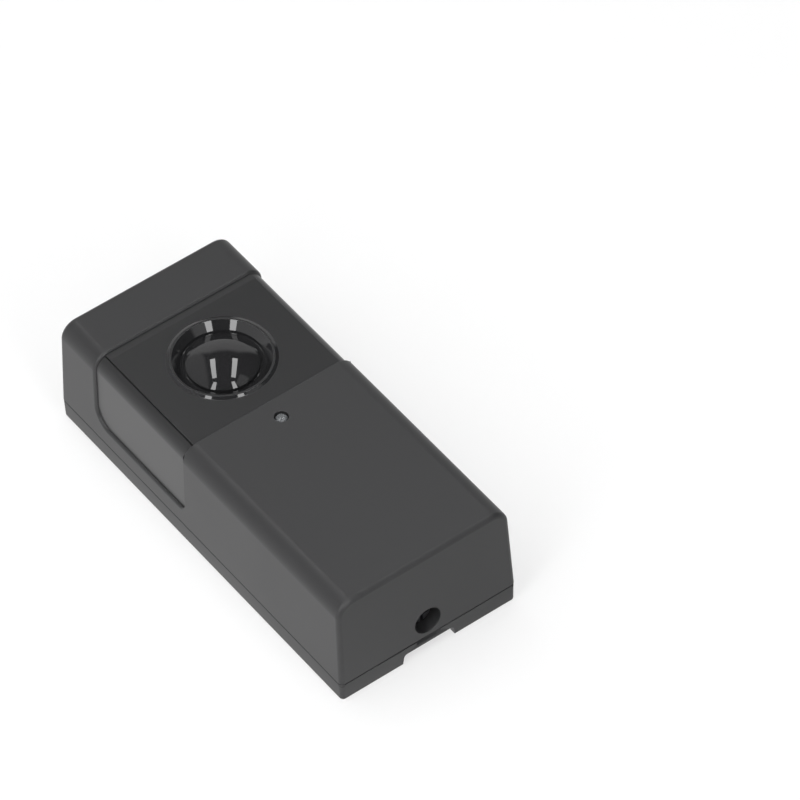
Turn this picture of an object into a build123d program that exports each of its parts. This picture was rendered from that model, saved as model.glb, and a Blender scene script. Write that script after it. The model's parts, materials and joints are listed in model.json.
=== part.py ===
from build123d import *
from math import radians, tan
import os

os.makedirs("parts", exist_ok=True)

# A gate photocell, the receiver of a single beam pair, all sizes in millimetres.
# X is the width, Y the length with the lens end at +Y, and Z points out of the wall.
# The origin is the middle of the back, on the wall.

# Housing, outside
housing_width = 50.0
housing_length = 111.8
front_height = 31.4
parting_height = 5.4
side_draft = 1.9
lens_end_draft = 1.9
screw_end_draft = 2.6
long_edge_radius = 4.5
end_edge_radius = 1.2
inner_edge_radius = 0.3
cover_wall = 2.0

# Base moulding
base_inset = 0.05
seam_chamfer = 0.25
base_draft = 1.6
base_rim = 2.0
base_web = 2.0
foot_radius = 0.5
lip_wall = 1.4
lip_height = 3.0
rib_wall = 1.2
rib_gap = 0.5
rib_pitch = 15.0
rib_count = 4

# Clearances
slip_fit = 0.15
window_fit = 0.08
pin_fit = 0.1
thread_fit = 0.05

# Window moulding
window_top_gap = 14.9
window_length = 35.5
window_low_z = 10.6
window_recess = 0.65
window_far_radius = 5.0
window_near_radius = 1.7
panel_width = 41.8
panel_recess = 0.3
panel_edge_radius = 0.1
panel_far_slope = 2.2
panel_far_drop = 0.3
flange_width = 1.5
flange_thickness = 0.9

# Lens, moulded with the window
bead_radius = 13.2
bead_height = 0.45
crest_radius = 12.2
well_foot_radius = 10.3
well_foot_depth = 1.65
gutter_radius = 9.5
gutter_depth = 2.45
dome_radius = 8.75
dome_rim_depth = 1.8
dome_height = 2.0
lens_boss_radius = 12.6
lens_back_depth = 4.6

# Status lamp
led_gap = 5.7
led_hole_radius = 1.7
led_radius = 1.45
led_flange_radius = 1.75
led_flange_height = 1.0
led_height = 5.3
led_recess = 0.1
led_crown = 0.3
lead_pitch = 2.54
lead_size = 0.5
led_spacer_radius = 2.5
led_spacer_bore = 1.9

# Cover screw, its well in the cover and its tower on the base
screw_rise = 5.0
screw_well_radius = 3.6
screw_well_depth = 4.5
screw_boss_wall = 0.9
screw_seat = 1.4
screw_head_radius = 2.75
screw_head_height = 1.9
screw_shank_radius = 1.45
screw_shank_length = 6.2
screw_slot_width = 0.8
screw_slot_depth = 0.9
screw_slot_share = 0.7
screw_head_round = 0.6
screw_tip = 0.45
tower_width = 9.0
tower_depth = 3.5
tower_height = 9.6

# Slots and holes of the base
fixing_end_gap = 8.6
fixing_foot_gap = 25.2
fixing_slot_length = 7.0
fixing_slot_radius = 2.2
fixing_pad_wall = 1.2
notch_width = 15.0
notch_top_width = 14.0
notch_height = 3.2
notch_radius = 1.0
pry_width = 7.0
pry_height = 1.15
pry_depth = 1.5

# Cable grommet and seal
grommet_gap = 9.6
grommet_hole_radius = 4.0
grommet_flange_radius = 4.8
grommet_flange_height = 1.0
cable_radius = 2.75
seal_width = 1.1
seal_height = 1.8
seal_bridge = 0.35

# Hooks at the lens end
hook_spread = 26.0
hook_width = 8.0
hook_rise = 2.2
hook_reach = 0.75
hook_height = 1.4
hook_fit = 0.2

# Circuit board
board_thickness = 1.6
board_side_gap = 0.4
board_end_gap = 1.5
board_foot_gap = 0.5
board_notch_width = 11.0
board_notch_gap = 4.5
board_corner_radius = 1.5
standoff_height = 4.0
standoff_radius = 2.6
standoff_inset = 4.0
board_screw_radius = 1.2
board_screw_head = 2.4
board_screw_head_height = 1.7
board_screw_length = 4.6
board_web = 0.5

# Receiver optics
shroud_wall = 1.1
shroud_collar = 2.2
shroud_foot_radius = 6.2
shroud_foot_wall = 2.0
shroud_foot_height = 2.0
shroud_peg_radius = 0.9
shroud_peg_length = 1.3
diode_width = 5.4
diode_depth = 4.3
diode_height = 2.2
diode_edge = 0.25

# Terminal block
pole_pitch = 5.08
pole_count = 5
block_depth = 8.4
block_height = 10.5
block_edge = 0.3
block_gap = 0.1
block_slope = 2.2
entry_width = 4.0
entry_height = 4.4
entry_depth = 6.6
entry_floor = 1.2
clamp_fit = 0.1
clamp_wire_width = 2.6
clamp_wire_height = 2.2
clamp_length = 5.2
clamp_screw_radius = 1.1
clamp_head_radius = 1.75
clamp_head_height = 1.6
clamp_ledge = 0.8
solder_pin_radius = 0.5
solder_pin_length = 1.4

# Other parts on the board
relay_width = 10.5
relay_length = 15.5
relay_height = 11.4
relay_x = 12.4
relay_gap = 0.6
relay_pin_pitch = 3.2
relay_edge_radius = 0.6
relay_top_radius = 0.5
relay_row_pitch = 7.62
storage_radius = 4.0
storage_height = 11.5
storage_gap = 0.6
storage_lead_pitch = 3.5
filter_radius = 2.5
filter_height = 11.0
can_edge_radius = 0.5
can_groove_height = 1.8
can_groove_radius = 0.4
capacitor_x = -12.5
varistor_radius = 3.5
varistor_thickness = 3.4
varistor_stand = 1.0
varistor_edge = 1.1
rectifier_width = 2.6
rectifier_length = 4.3
rectifier_height = 2.2
rectifier_pitch = 4.4
rectifier_count = 4
rectifier_gap = 0.3
resin_edge = 0.3
regulator_radius = 2.35
regulator_height = 4.6
regulator_stand = 2.0
regulator_flat = 1.3
regulator_pitch = 1.27
chip_length = 8.6
chip_width = 3.9
chip_height = 1.5
chip_legs = 7
chip_pitch = 1.27
chip_lift = 0.15
chip_reach = 3.0
chip_leg_out = 2.2
chip_leg_width = 0.42
chip_leg_thickness = 0.22
chip_leg_rise = 0.75
chip_leg_top = 0.97
chip_side_gap = 1.6
chip_end_gap = 8.0
resistor_length = 2.0
resistor_width = 1.25
resistor_height = 0.55
resistor_pitch = 2.6
resistor_row_pitch = 3.0
resistor_rows = 3
header_pins = 3
header_height = 2.5
header_edge = 0.3
header_pin_size = 0.64
header_pin_height = 8.5
jumper_height = 6.0
jumper_wall = 0.75
header_x = 15.2
lead_radius = 0.3
lead_reach = 1.2

# Places worked out from those sizes
half_length = housing_length / 2
floor_z = parting_height
board_z = floor_z + standoff_height
board_top = board_z + board_thickness
window_top_y = half_length - window_top_gap
window_low_y = window_top_y - window_length
lens_y = (window_top_y + window_low_y) / 2
panel_z = front_height - panel_recess
led_y = window_low_y - led_gap
fixing_top_y = half_length - fixing_end_gap
fixing_low_y = fixing_foot_gap - half_length
grommet_y = fixing_low_y - grommet_gap
screw_z = parting_height + screw_rise
screw_face_y = -half_length + screw_rise * tan(radians(screw_end_draft))
screw_seat_y = screw_face_y + screw_well_depth
boss_end_y = screw_seat_y + screw_seat
screw_boss_radius = screw_well_radius + screw_boss_wall
tower_y = boss_end_y + slip_fit
lip_inset = cover_wall + seal_width + slip_fit
lip_y = half_length - lip_inset
hook_z = floor_z + lip_height + hook_rise
hook_wall_y = half_length - cover_wall - (hook_z - floor_z) * tan(radians(lens_end_draft))
hook_tip_y = hook_wall_y + hook_reach
hooks = [(-hook_spread / 2, hook_z), (hook_spread / 2, hook_z)]
board_width = housing_width - 2 * (lip_inset + lip_wall + board_side_gap)
board_top_y = window_top_y + board_end_gap
board_low_y = fixing_low_y + board_foot_gap
board_length = board_top_y - board_low_y
board_y = (board_top_y + board_low_y) / 2
standoff_x = board_width / 2 - standoff_inset
standoff_reach = board_length / 2 - standoff_inset
standoffs = [
    (side * standoff_x, board_y + end * standoff_reach) for side in (-1, 1) for end in (-1, 1)
]
block_front_y = board_low_y + standoff_inset + board_screw_head + block_gap
block_y = block_front_y + block_depth / 2
block_width = pole_count * pole_pitch + 2 * block_edge
poles = [((i - (pole_count - 1) / 2) * pole_pitch, block_y) for i in range(pole_count)]
block_back_y = block_y + block_depth / 2
relay_y = block_back_y + relay_gap + relay_length / 2
storage_y = block_back_y + rectifier_length + 2 * pin_fit + storage_gap + storage_radius
filter_y = storage_y + storage_radius + storage_gap + filter_radius
varistor_x = relay_x - relay_width / 2 - storage_gap - varistor_thickness / 2
varistor_y = block_back_y + rectifier_length + 2 * pin_fit + storage_gap + varistor_radius
regulator_y = filter_y + filter_radius + storage_gap + regulator_radius
header_y = relay_y + relay_length / 2 + storage_gap + header_pins * lead_pitch / 2
shroud_peg_x = shroud_foot_radius - shroud_foot_wall / 2


def pin_row(x, y, count, pitch):
    """Points in a row along Y, centred on x and y."""
    return [(x, y + (i - (count - 1) / 2) * pitch) for i in range(count)]


led_leads = pin_row(0, led_y, 2, lead_pitch)
storage_leads = pin_row(capacitor_x, storage_y, 2, storage_lead_pitch)
filter_leads = pin_row(capacitor_x, filter_y, 2, lead_pitch)
varistor_leads = pin_row(varistor_x, varistor_y, 2, 2 * lead_pitch)
regulator_leads = pin_row(capacitor_x, regulator_y, 3, regulator_pitch)
relay_leads = [
    (relay_x + side * relay_row_pitch / 2, y)
    for side in (-1, 1)
    for x, y in pin_row(relay_x, relay_y, 4, relay_pin_pitch)
]
header_leads = pin_row(header_x, header_y, header_pins, lead_pitch)


def moulded_form(inset, edge_radius):
    """The drafted outside of the cover, moved inwards by inset and solid down to the parting line."""
    high = front_height - inset
    rise = high - parting_height
    foot_x = housing_width / 2 - inset
    head_x = foot_x - rise * tan(radians(side_draft))
    lens_foot = half_length - inset
    screw_foot = inset - half_length
    with BuildPart() as form:
        with BuildSketch(Plane.XZ) as section:
            with BuildLine():
                Polyline(
                    (-foot_x, parting_height),
                    (foot_x, parting_height),
                    (head_x, high),
                    (-head_x, high),
                    close=True,
                )
            make_face()
            fillet(section.vertices().group_by(Axis.Y)[-1], long_edge_radius - inset)
        extrude(amount=housing_length, both=True)
        with BuildSketch(Plane.YZ):
            with BuildLine():
                Polyline(
                    (screw_foot, parting_height),
                    (lens_foot, parting_height),
                    (lens_foot - rise * tan(radians(lens_end_draft)), high),
                    (screw_foot + rise * tan(radians(screw_end_draft)), high),
                    close=True,
                )
            make_face()
        extrude(amount=housing_width, both=True, mode=Mode.INTERSECT)
        ends = form.faces().sort_by(Axis.Y)
        rims = ends[0].edges() + ends[-1].edges()
        fillet([rim for rim in rims if rim.center().Z > parting_height + slip_fit], edge_radius)
    return form.part


def opening_prism(grow):
    """The window's opening seen from the side, carried right across the housing."""
    near = window_low_y - grow
    far = window_top_y + grow
    low = window_low_z - grow
    with BuildPart() as prism:
        with BuildSketch(Plane.YZ):
            with BuildLine():
                Polyline(
                    (near, front_height + bead_radius),
                    (near, low + window_near_radius),
                )
                RadiusArc(
                    (near, low + window_near_radius),
                    (near + window_near_radius, low),
                    -window_near_radius,
                )
                Polyline(
                    (near + window_near_radius, low),
                    (far - window_far_radius, low),
                )
                RadiusArc(
                    (far - window_far_radius, low),
                    (far, low + window_far_radius),
                    -window_far_radius,
                )
                Polyline(
                    (far, low + window_far_radius),
                    (far, front_height + bead_radius),
                    (near, front_height + bead_radius),
                )
            make_face()
        extrude(amount=housing_width, both=True)
    return prism.part


cover_outside = moulded_form(0, end_edge_radius)
cover_inside = moulded_form(cover_wall, inner_edge_radius)
window_outside = moulded_form(window_recess, end_edge_radius - window_recess)
flange_outside = moulded_form(cover_wall + window_fit, inner_edge_radius)
window_inside = moulded_form(cover_wall + window_fit + flange_thickness, inner_edge_radius)
cover_opening = opening_prism(0)
window_plug = opening_prism(-window_fit)
window_flange = opening_prism(flange_width)

# Front cover: a drafted shell with the wrap-round opening for the window, the lamp's hole,
# the well of the cover screw and the pockets that the base's hooks catch in.
with BuildPart() as front_cover:
    add(cover_outside)
    add(cover_inside, mode=Mode.SUBTRACT)
    with BuildSketch(Plane.XZ.offset(half_length)):
        with Locations((0, screw_z)):
            Circle(screw_boss_radius)
    extrude(amount=-(boss_end_y + half_length))
    add(cover_outside, mode=Mode.INTERSECT)
    with BuildSketch(Plane.XY.offset(front_height - cover_wall)):
        with Locations((0, led_y)):
            Circle(led_flange_radius + cover_wall)
    extrude(amount=-cover_wall)
    add(cover_opening, mode=Mode.SUBTRACT)
    with Locations(Plane.XY.offset(front_height)):
        with Locations((0, led_y)):
            Hole(led_hole_radius, depth=3 * cover_wall)
    with BuildSketch(Plane.XY.offset(front_height - cover_wall)):
        with Locations((0, led_y)):
            Circle(led_flange_radius + pin_fit)
    extrude(amount=-cover_wall, mode=Mode.SUBTRACT)
    with Locations(Plane.XZ.offset(half_length)):
        with Locations((0, screw_z)):
            Hole(screw_shank_radius + pin_fit, depth=boss_end_y + half_length)
    with BuildSketch(Plane.XZ.offset(half_length)):
        with Locations((0, screw_z)):
            Circle(screw_well_radius)
    extrude(amount=-(screw_seat_y + half_length), mode=Mode.SUBTRACT)
    with BuildSketch(Plane.XZ.offset(-lip_y)):
        with Locations(*hooks):
            Rectangle(hook_width + 2 * hook_fit, hook_height + 2 * hook_fit)
    extrude(amount=lip_y - hook_tip_y - hook_fit, mode=Mode.SUBTRACT)
front_cover.part.label = "front_cover"
export_step(front_cover.part, "parts/front_cover.step")

# Smoked window and lens: one moulding that wraps round the front, with a raised bead,
# a conical well and a domed lens, and a flange that bears on the cover's inside.
lens_centre = Plane.XZ.offset(-lens_y)
with BuildPart() as lens_window:
    add(window_outside)
    add(window_plug, mode=Mode.INTERSECT)
    with BuildSketch(Plane.XY.offset(panel_z)):
        with Locations((0, lens_y)):
            Rectangle(panel_width, window_length - 2 * window_fit)
    extrude(amount=-cover_wall)
    panel_edges = lens_window.edges().filter_by(Axis.Y).group_by(Axis.Z)[-1]
    fillet(panel_edges, panel_edge_radius)
    with BuildSketch(Plane.YZ):
        with BuildLine():
            Polyline(
                (window_top_y, panel_z),
                (window_top_y, panel_z - panel_far_drop),
                (window_top_y - panel_far_slope, panel_z),
                close=True,
            )
        make_face()
    extrude(amount=housing_width, both=True, mode=Mode.SUBTRACT)
    add(flange_outside & window_flange)
    add(window_inside, mode=Mode.SUBTRACT)
    with BuildSketch(Plane.XY.offset(panel_z - lens_back_depth)):
        with Locations((0, lens_y)):
            Circle(lens_boss_radius)
    extrude(amount=lens_back_depth + bead_height, mode=Mode.SUBTRACT)
    with BuildSketch(lens_centre):
        with BuildLine():
            Polyline(
                (0, panel_z - lens_back_depth),
                (lens_boss_radius, panel_z - lens_back_depth),
                (lens_boss_radius, panel_z),
                (bead_radius, panel_z),
                (crest_radius, panel_z + bead_height),
                (well_foot_radius, panel_z - well_foot_depth),
            )
            ThreePointArc(
                (well_foot_radius, panel_z - well_foot_depth),
                (gutter_radius, panel_z - gutter_depth),
                (dome_radius, panel_z - dome_rim_depth),
            )
            RadiusArc(
                (dome_radius, panel_z - dome_rim_depth),
                (0, panel_z - dome_rim_depth + dome_height),
                -(dome_radius**2 + dome_height**2) / (2 * dome_height),
            )
            Line(
                (0, panel_z - dome_rim_depth + dome_height),
                (0, panel_z - lens_back_depth),
            )
        make_face()
    revolve(axis=Axis((0, lens_y, 0), (0, 0, 1)))
lens_window.part.label = "lens_window"
export_step(lens_window.part, "parts/lens_window.step")

# Base: a tray turned to the wall, cored out behind, with a lip that carries the seal,
# four standoffs, two hooks at the lens end and the tower that the cover screw bites into.
web_z = parting_height - base_web
rib_drop = web_z - rib_gap
tower_mid_y = tower_y + tower_depth / 2
channel_x = notch_width / 2 + rib_wall / 2
channel_length = grommet_y + half_length - base_rim
with BuildPart() as base_shell:
    with BuildSketch(Plane.XY.offset(parting_height)):
        RectangleRounded(
            housing_width - 2 * base_inset,
            housing_length - 2 * base_inset,
            end_edge_radius,
        )
    extrude(amount=-parting_height, taper=base_draft)
    fillet(base_shell.faces().sort_by(Axis.Z)[0].edges(), foot_radius)
    chamfer(base_shell.faces().sort_by(Axis.Z)[-1].edges(), seam_chamfer)
    with BuildSketch(Plane.XY):
        RectangleRounded(
            housing_width - 2 * (base_inset + base_rim),
            housing_length - 2 * (base_inset + base_rim),
            end_edge_radius,
        )
    extrude(amount=web_z, mode=Mode.SUBTRACT)

    # Ribs behind the web: two beside the cable's channel and a row across the back.
    with BuildSketch(Plane.XY.offset(web_z)):
        with Locations(
            (-channel_x, grommet_y - channel_length / 2),
            (channel_x, grommet_y - channel_length / 2),
        ):
            Rectangle(rib_wall, channel_length)
        with GridLocations(0, rib_pitch, 1, rib_count):
            with Locations((0, lens_y - rib_pitch)):
                Rectangle(housing_width - 2 * (base_inset + base_rim), rib_wall)
    extrude(amount=-rib_drop)
    with BuildSketch(Plane.XY):
        with Locations((0, fixing_top_y), (0, fixing_low_y)):
            SlotOverall(
                fixing_slot_length + 2 * fixing_pad_wall,
                2 * (fixing_slot_radius + fixing_pad_wall),
                rotation=90,
            )
    extrude(amount=web_z)
    with BuildSketch(Plane.XY):
        with Locations((0, grommet_y)):
            Circle(grommet_flange_radius + pin_fit)
    extrude(amount=web_z, mode=Mode.SUBTRACT)

    # Lip inside the cover, open where the screw well passes.
    with BuildSketch(Plane.XY.offset(floor_z)):
        Rectangle(housing_width - 2 * lip_inset, housing_length - 2 * lip_inset)
        Rectangle(
            housing_width - 2 * (lip_inset + lip_wall),
            housing_length - 2 * (lip_inset + lip_wall),
            mode=Mode.SUBTRACT,
        )
        with Locations((0, lip_wall / 2 - lip_y)):
            Rectangle(2 * (screw_boss_radius + seal_bridge), 2 * lip_wall, mode=Mode.SUBTRACT)
    extrude(amount=lip_height)

    # Hooks, each a tab on the lip with a barb that snaps into the cover's pocket.
    with BuildSketch(Plane.YZ) as barb:
        with BuildLine():
            Polyline(
                (lip_y - lip_wall, floor_z),
                (lip_y, floor_z),
                (lip_y, hook_z - hook_height / 2),
                (hook_tip_y, hook_z - hook_height / 2),
                (lip_y, hook_z + hook_height / 2),
                (lip_y - lip_wall, hook_z + hook_height / 2),
                close=True,
            )
        make_face()
    extrude(amount=(hook_spread + hook_width) / 2, both=True)
    with BuildSketch(Plane.XY.offset(floor_z + lip_height)):
        with Locations((0, lip_y)):
            Rectangle(hook_spread - hook_width, 4 * lip_wall)
    extrude(amount=hook_rise + hook_height, mode=Mode.SUBTRACT)

    with BuildSketch(Plane.XY.offset(floor_z)):
        with Locations(*standoffs):
            Circle(standoff_radius)
    extrude(amount=standoff_height)
    with BuildSketch(Plane.XY.offset(floor_z)):
        with Locations((0, tower_mid_y)):
            Rectangle(tower_width, tower_depth)
    extrude(amount=tower_height)
    fillet(
        base_shell.edges().filter_by(Axis.Y).group_by(Axis.Z)[-1],
        tower_depth / 2,
    )

    # Holes: board screws, cover screw, wall fixings, cable entry, cable notch, pry slot.
    with Locations(Plane.XY.offset(board_z)):
        with Locations(*standoffs):
            Hole(board_screw_radius + thread_fit, depth=standoff_height - board_web)
    with Locations(Plane.XZ.offset(-tower_y)):
        with Locations((0, screw_z)):
            Hole(screw_shank_radius + thread_fit, depth=tower_depth)
    with BuildSketch(Plane.XY):
        with Locations((0, fixing_top_y), (0, fixing_low_y)):
            SlotOverall(fixing_slot_length, 2 * fixing_slot_radius, rotation=90)
        with Locations((0, grommet_y)):
            Circle(grommet_hole_radius)
    extrude(amount=parting_height, mode=Mode.SUBTRACT)
    with BuildSketch(Plane.XZ.offset(half_length)) as notch:
        with BuildLine():
            Polyline(
                (-notch_width / 2, 0),
                (notch_width / 2, 0),
                (notch_top_width / 2, notch_height),
                (-notch_top_width / 2, notch_height),
                close=True,
            )
        make_face()
        fillet(notch.vertices().group_by(Axis.Y)[-1], notch_radius)
    extrude(amount=-(base_inset + base_rim + rib_wall), mode=Mode.SUBTRACT)
    with BuildSketch(Plane.XZ.offset(half_length)):
        with Locations((0, parting_height - pry_height / 2)):
            Rectangle(pry_width, pry_height)
    extrude(amount=-(base_inset + pry_depth), mode=Mode.SUBTRACT)
base_shell.part.label = "base_shell"
export_step(base_shell.part, "parts/base_shell.step")

# Seal: a rubber ring round the lip, thinner where the screw well passes over it.
with BuildPart() as cover_seal:
    with BuildSketch(Plane.XY.offset(floor_z)):
        Rectangle(
            housing_width - 2 * (lip_inset - seal_width),
            housing_length - 2 * (lip_inset - seal_width),
        )
        Rectangle(
            housing_width - 2 * lip_inset,
            housing_length - 2 * lip_inset,
            mode=Mode.SUBTRACT,
        )
    extrude(amount=seal_height)
    with BuildSketch(Plane.XZ.offset(half_length)):
        with Locations((0, screw_z)):
            Circle(screw_boss_radius + thread_fit)
    extrude(amount=-2 * lip_inset, mode=Mode.SUBTRACT)
cover_seal.part.label = "cover_seal"
export_step(cover_seal.part, "parts/cover_seal.step")

# Grommet in the base's cable hole, turned in one outline.
grommet_low = web_z - grommet_flange_height
grommet_high = parting_height + grommet_flange_height
with BuildPart() as cable_grommet:
    with BuildSketch(Plane.XZ.offset(-grommet_y)):
        with BuildLine():
            Polyline(
                (cable_radius, grommet_low),
                (grommet_flange_radius, grommet_low),
                (grommet_flange_radius, web_z),
                (grommet_hole_radius - thread_fit, web_z),
                (grommet_hole_radius - thread_fit, parting_height),
                (grommet_flange_radius, parting_height),
                (cable_radius + grommet_flange_height, grommet_high),
                (cable_radius, grommet_high),
                close=True,
            )
        make_face()
    revolve(axis=Axis((0, grommet_y, 0), (0, 0, 1)))
cable_grommet.part.label = "cable_grommet"
export_step(cable_grommet.part, "parts/cable_grommet.step")

# Cover screw, lying along Y in its well, with a slotted pan head.
with BuildPart() as cover_screw:
    with BuildSketch(Plane.XZ.offset(-screw_seat_y)):
        with Locations((0, screw_z)):
            Circle(screw_head_radius)
    extrude(amount=screw_head_height)
    fillet(cover_screw.faces().sort_by(Axis.Y)[0].edges(), screw_head_round)
    with BuildSketch(Plane.XZ.offset(screw_head_height - screw_seat_y)):
        with Locations((0, screw_z)):
            Rectangle(screw_slot_width, 2 * screw_head_radius)
            Rectangle(2 * screw_head_radius * screw_slot_share, screw_slot_width)
    extrude(amount=-screw_slot_depth, mode=Mode.SUBTRACT)
    with BuildSketch(Plane.XZ.offset(-screw_seat_y)):
        with Locations((0, screw_z)):
            Circle(screw_shank_radius)
    extrude(amount=-screw_shank_length)
    chamfer(cover_screw.faces().sort_by(Axis.Y)[-1].edges(), screw_tip)
cover_screw.part.label = "cover_screw"
export_step(cover_screw.part, "parts/cover_screw.step")

# Circuit board, notched over the lower wall slot, with a hole for each screw, peg and lead.
with BuildPart() as circuit_board:
    with BuildSketch(Plane.XY.offset(board_z)):
        with Locations((0, board_y)):
            RectangleRounded(board_width, board_length, board_corner_radius)
        with Locations((0, board_low_y)):
            Rectangle(
                board_notch_width,
                2 * (board_notch_gap - board_foot_gap),
                mode=Mode.SUBTRACT,
            )
        with Locations(*standoffs):
            Circle(board_screw_radius + pin_fit, mode=Mode.SUBTRACT)
        with Locations((-shroud_peg_x, lens_y), (shroud_peg_x, lens_y)):
            Circle(shroud_peg_radius + pin_fit, mode=Mode.SUBTRACT)
        with Locations(*poles):
            Circle(solder_pin_radius + pin_fit, mode=Mode.SUBTRACT)
        with Locations(*led_leads, *storage_leads, *filter_leads, *varistor_leads):
            Circle(lead_radius + pin_fit, mode=Mode.SUBTRACT)
        with Locations(*regulator_leads, *relay_leads):
            Circle(lead_radius + pin_fit, mode=Mode.SUBTRACT)
        with Locations(*header_leads):
            Circle(header_pin_size / 2 + 2 * pin_fit, mode=Mode.SUBTRACT)
    extrude(amount=board_thickness)
circuit_board.part.label = "circuit_board"
export_step(circuit_board.part, "parts/circuit_board.step")

# Board screws, one in each standoff, with slotted pan heads.
with BuildPart() as board_screws:
    with Locations(Plane.XY.offset(board_top)):
        with Locations(*standoffs):
            Cylinder(
                board_screw_head,
                board_screw_head_height,
                align=(Align.CENTER, Align.CENTER, Align.MIN),
            )
    fillet(board_screws.faces().group_by(Axis.Z)[-1].edges(), screw_head_round)
    with Locations(Plane.XY.offset(board_top + board_screw_head_height)):
        with Locations(*standoffs):
            Box(
                2 * board_screw_head,
                screw_slot_width,
                screw_slot_depth,
                align=(Align.CENTER, Align.CENTER, Align.MAX),
                mode=Mode.SUBTRACT,
            )
    with Locations(Plane.XY.offset(board_top)):
        with Locations(*standoffs):
            Cylinder(
                board_screw_radius,
                board_screw_length,
                align=(Align.CENTER, Align.CENTER, Align.MAX),
            )
board_screws.part.label = "board_screws"
export_step(board_screws.part, "parts/board_screws.step")

# Status lamp: a clear lamp with its rim under the cover and two leads down to the board.
led_top = front_height - led_recess
led_foot = led_top - led_height
led_axis = Plane.XZ.offset(-led_y)
with BuildPart() as status_led:
    with BuildSketch(led_axis):
        with BuildLine():
            Polyline(
                (0, led_foot),
                (led_flange_radius, led_foot),
                (led_flange_radius, led_foot + led_flange_height),
                (led_radius, led_foot + led_flange_height),
                (led_radius, led_top - led_crown),
            )
            RadiusArc(
                (led_radius, led_top - led_crown),
                (0, led_top),
                -(led_radius**2 + led_crown**2) / (2 * led_crown),
            )
            Line((0, led_top), (0, led_foot))
        make_face()
    revolve(axis=Axis((0, led_y, 0), (0, 0, 1)))
    with BuildSketch(Plane.XY.offset(led_foot)):
        with Locations(*led_leads):
            Rectangle(lead_size, lead_size)
    extrude(amount=board_z - lead_reach - led_foot)
status_led.part.label = "status_led"
export_step(status_led.part, "parts/status_led.step")

# Spacer that holds the lamp up at the cover.
with BuildPart() as led_spacer:
    with BuildSketch(Plane.XY.offset(board_top)):
        with Locations((0, led_y)):
            Circle(led_spacer_radius)
            Circle(led_spacer_bore, mode=Mode.SUBTRACT)
    extrude(amount=led_foot - board_top)
    with BuildSketch(Plane.XY.offset(led_foot)):
        with Locations((0, led_y)):
            Circle(led_spacer_radius)
            Rectangle(2 * lead_size, lead_pitch + 2 * lead_size, mode=Mode.SUBTRACT)
    extrude(amount=-led_flange_height)
led_spacer.part.label = "led_spacer"
export_step(led_spacer.part, "parts/led_spacer.step")

# Receiver diode under the lens, and the dark shroud that keeps stray light from it.
with BuildPart() as receiver_diode:
    with BuildSketch(Plane.XY.offset(board_top)):
        with Locations((0, lens_y)):
            Rectangle(diode_width, diode_depth)
    extrude(amount=diode_height, taper=side_draft)
    chamfer(receiver_diode.faces().sort_by(Axis.Z)[-1].edges(), diode_edge)
receiver_diode.part.label = "receiver_diode"
export_step(receiver_diode.part, "parts/receiver_diode.step")

shroud_bore = lens_boss_radius + slip_fit
shroud_top_z = front_height - cover_wall - window_fit - flange_thickness - slip_fit
shroud_collar_z = shroud_top_z - shroud_collar
lens_back_z = panel_z - lens_back_depth
cone_top_z = lens_back_z - slip_fit
foot_bore = shroud_foot_radius - shroud_foot_wall
with BuildPart() as optic_shroud:
    with BuildSketch(Plane.XZ.offset(-lens_y)):
        with BuildLine():
            Polyline(
                (foot_bore, board_top),
                (shroud_foot_radius, board_top),
                (shroud_foot_radius, board_top + shroud_foot_height),
                (shroud_bore + shroud_wall, shroud_collar_z - shroud_collar),
                (shroud_bore + shroud_wall, shroud_top_z),
                (shroud_bore, shroud_top_z),
                (shroud_bore, cone_top_z),
                (lens_boss_radius - shroud_wall, cone_top_z),
                (foot_bore, board_top + shroud_foot_height),
                close=True,
            )
        make_face()
    revolve(axis=Axis((0, lens_y, 0), (0, 0, 1)))
    with BuildSketch(Plane.XY.offset(board_top)):
        with Locations((-shroud_peg_x, lens_y), (shroud_peg_x, lens_y)):
            Circle(shroud_peg_radius)
    extrude(amount=-shroud_peg_length)
optic_shroud.part.label = "optic_shroud"
export_step(optic_shroud.part, "parts/optic_shroud.step")

# Terminal block: a sloped moulding with a wire entry and a screw well for each pole.
entry_z = board_top + entry_floor + entry_height / 2
well_z = entry_z + entry_height / 2
clamp_height = entry_height - clamp_fit
clamp_width = entry_width - 2 * clamp_fit
clamp_y = block_front_y + entry_depth - clamp_length / 2 - clamp_fit
clamp_z = entry_z - clamp_fit / 2
clamp_places = [(x, clamp_y) for x, y in poles]
with BuildPart() as terminal_block:
    with BuildSketch(Plane.YZ):
        with BuildLine():
            Polyline(
                (block_front_y, board_top),
                (block_back_y, board_top),
                (block_back_y, board_top + block_height - block_slope),
                (block_back_y - block_slope, board_top + block_height),
                (block_front_y + block_slope / 2, board_top + block_height),
                (block_front_y, board_top + block_height - block_slope / 2),
                close=True,
            )
        make_face()
    extrude(amount=block_width / 2, both=True)
    with BuildSketch(Plane.XZ.offset(-block_front_y)):
        with Locations(*[(x, entry_z) for x, y in poles]):
            Rectangle(entry_width, entry_height)
    extrude(amount=-entry_depth, mode=Mode.SUBTRACT)
    with BuildSketch(Plane.XY.offset(well_z + clamp_ledge)):
        with Locations(*clamp_places):
            Circle(clamp_head_radius + clamp_fit)
    extrude(amount=block_height, mode=Mode.SUBTRACT)
    with BuildSketch(Plane.XY.offset(well_z)):
        with Locations(*clamp_places):
            Circle(clamp_screw_radius + clamp_fit)
    extrude(amount=clamp_ledge, mode=Mode.SUBTRACT)
    with BuildSketch(Plane.XY.offset(board_top)):
        with Locations(*poles):
            Circle(solder_pin_radius + pin_fit)
    extrude(amount=entry_floor, mode=Mode.SUBTRACT)
terminal_block.part.label = "terminal_block"
export_step(terminal_block.part, "parts/terminal_block.step")

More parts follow.
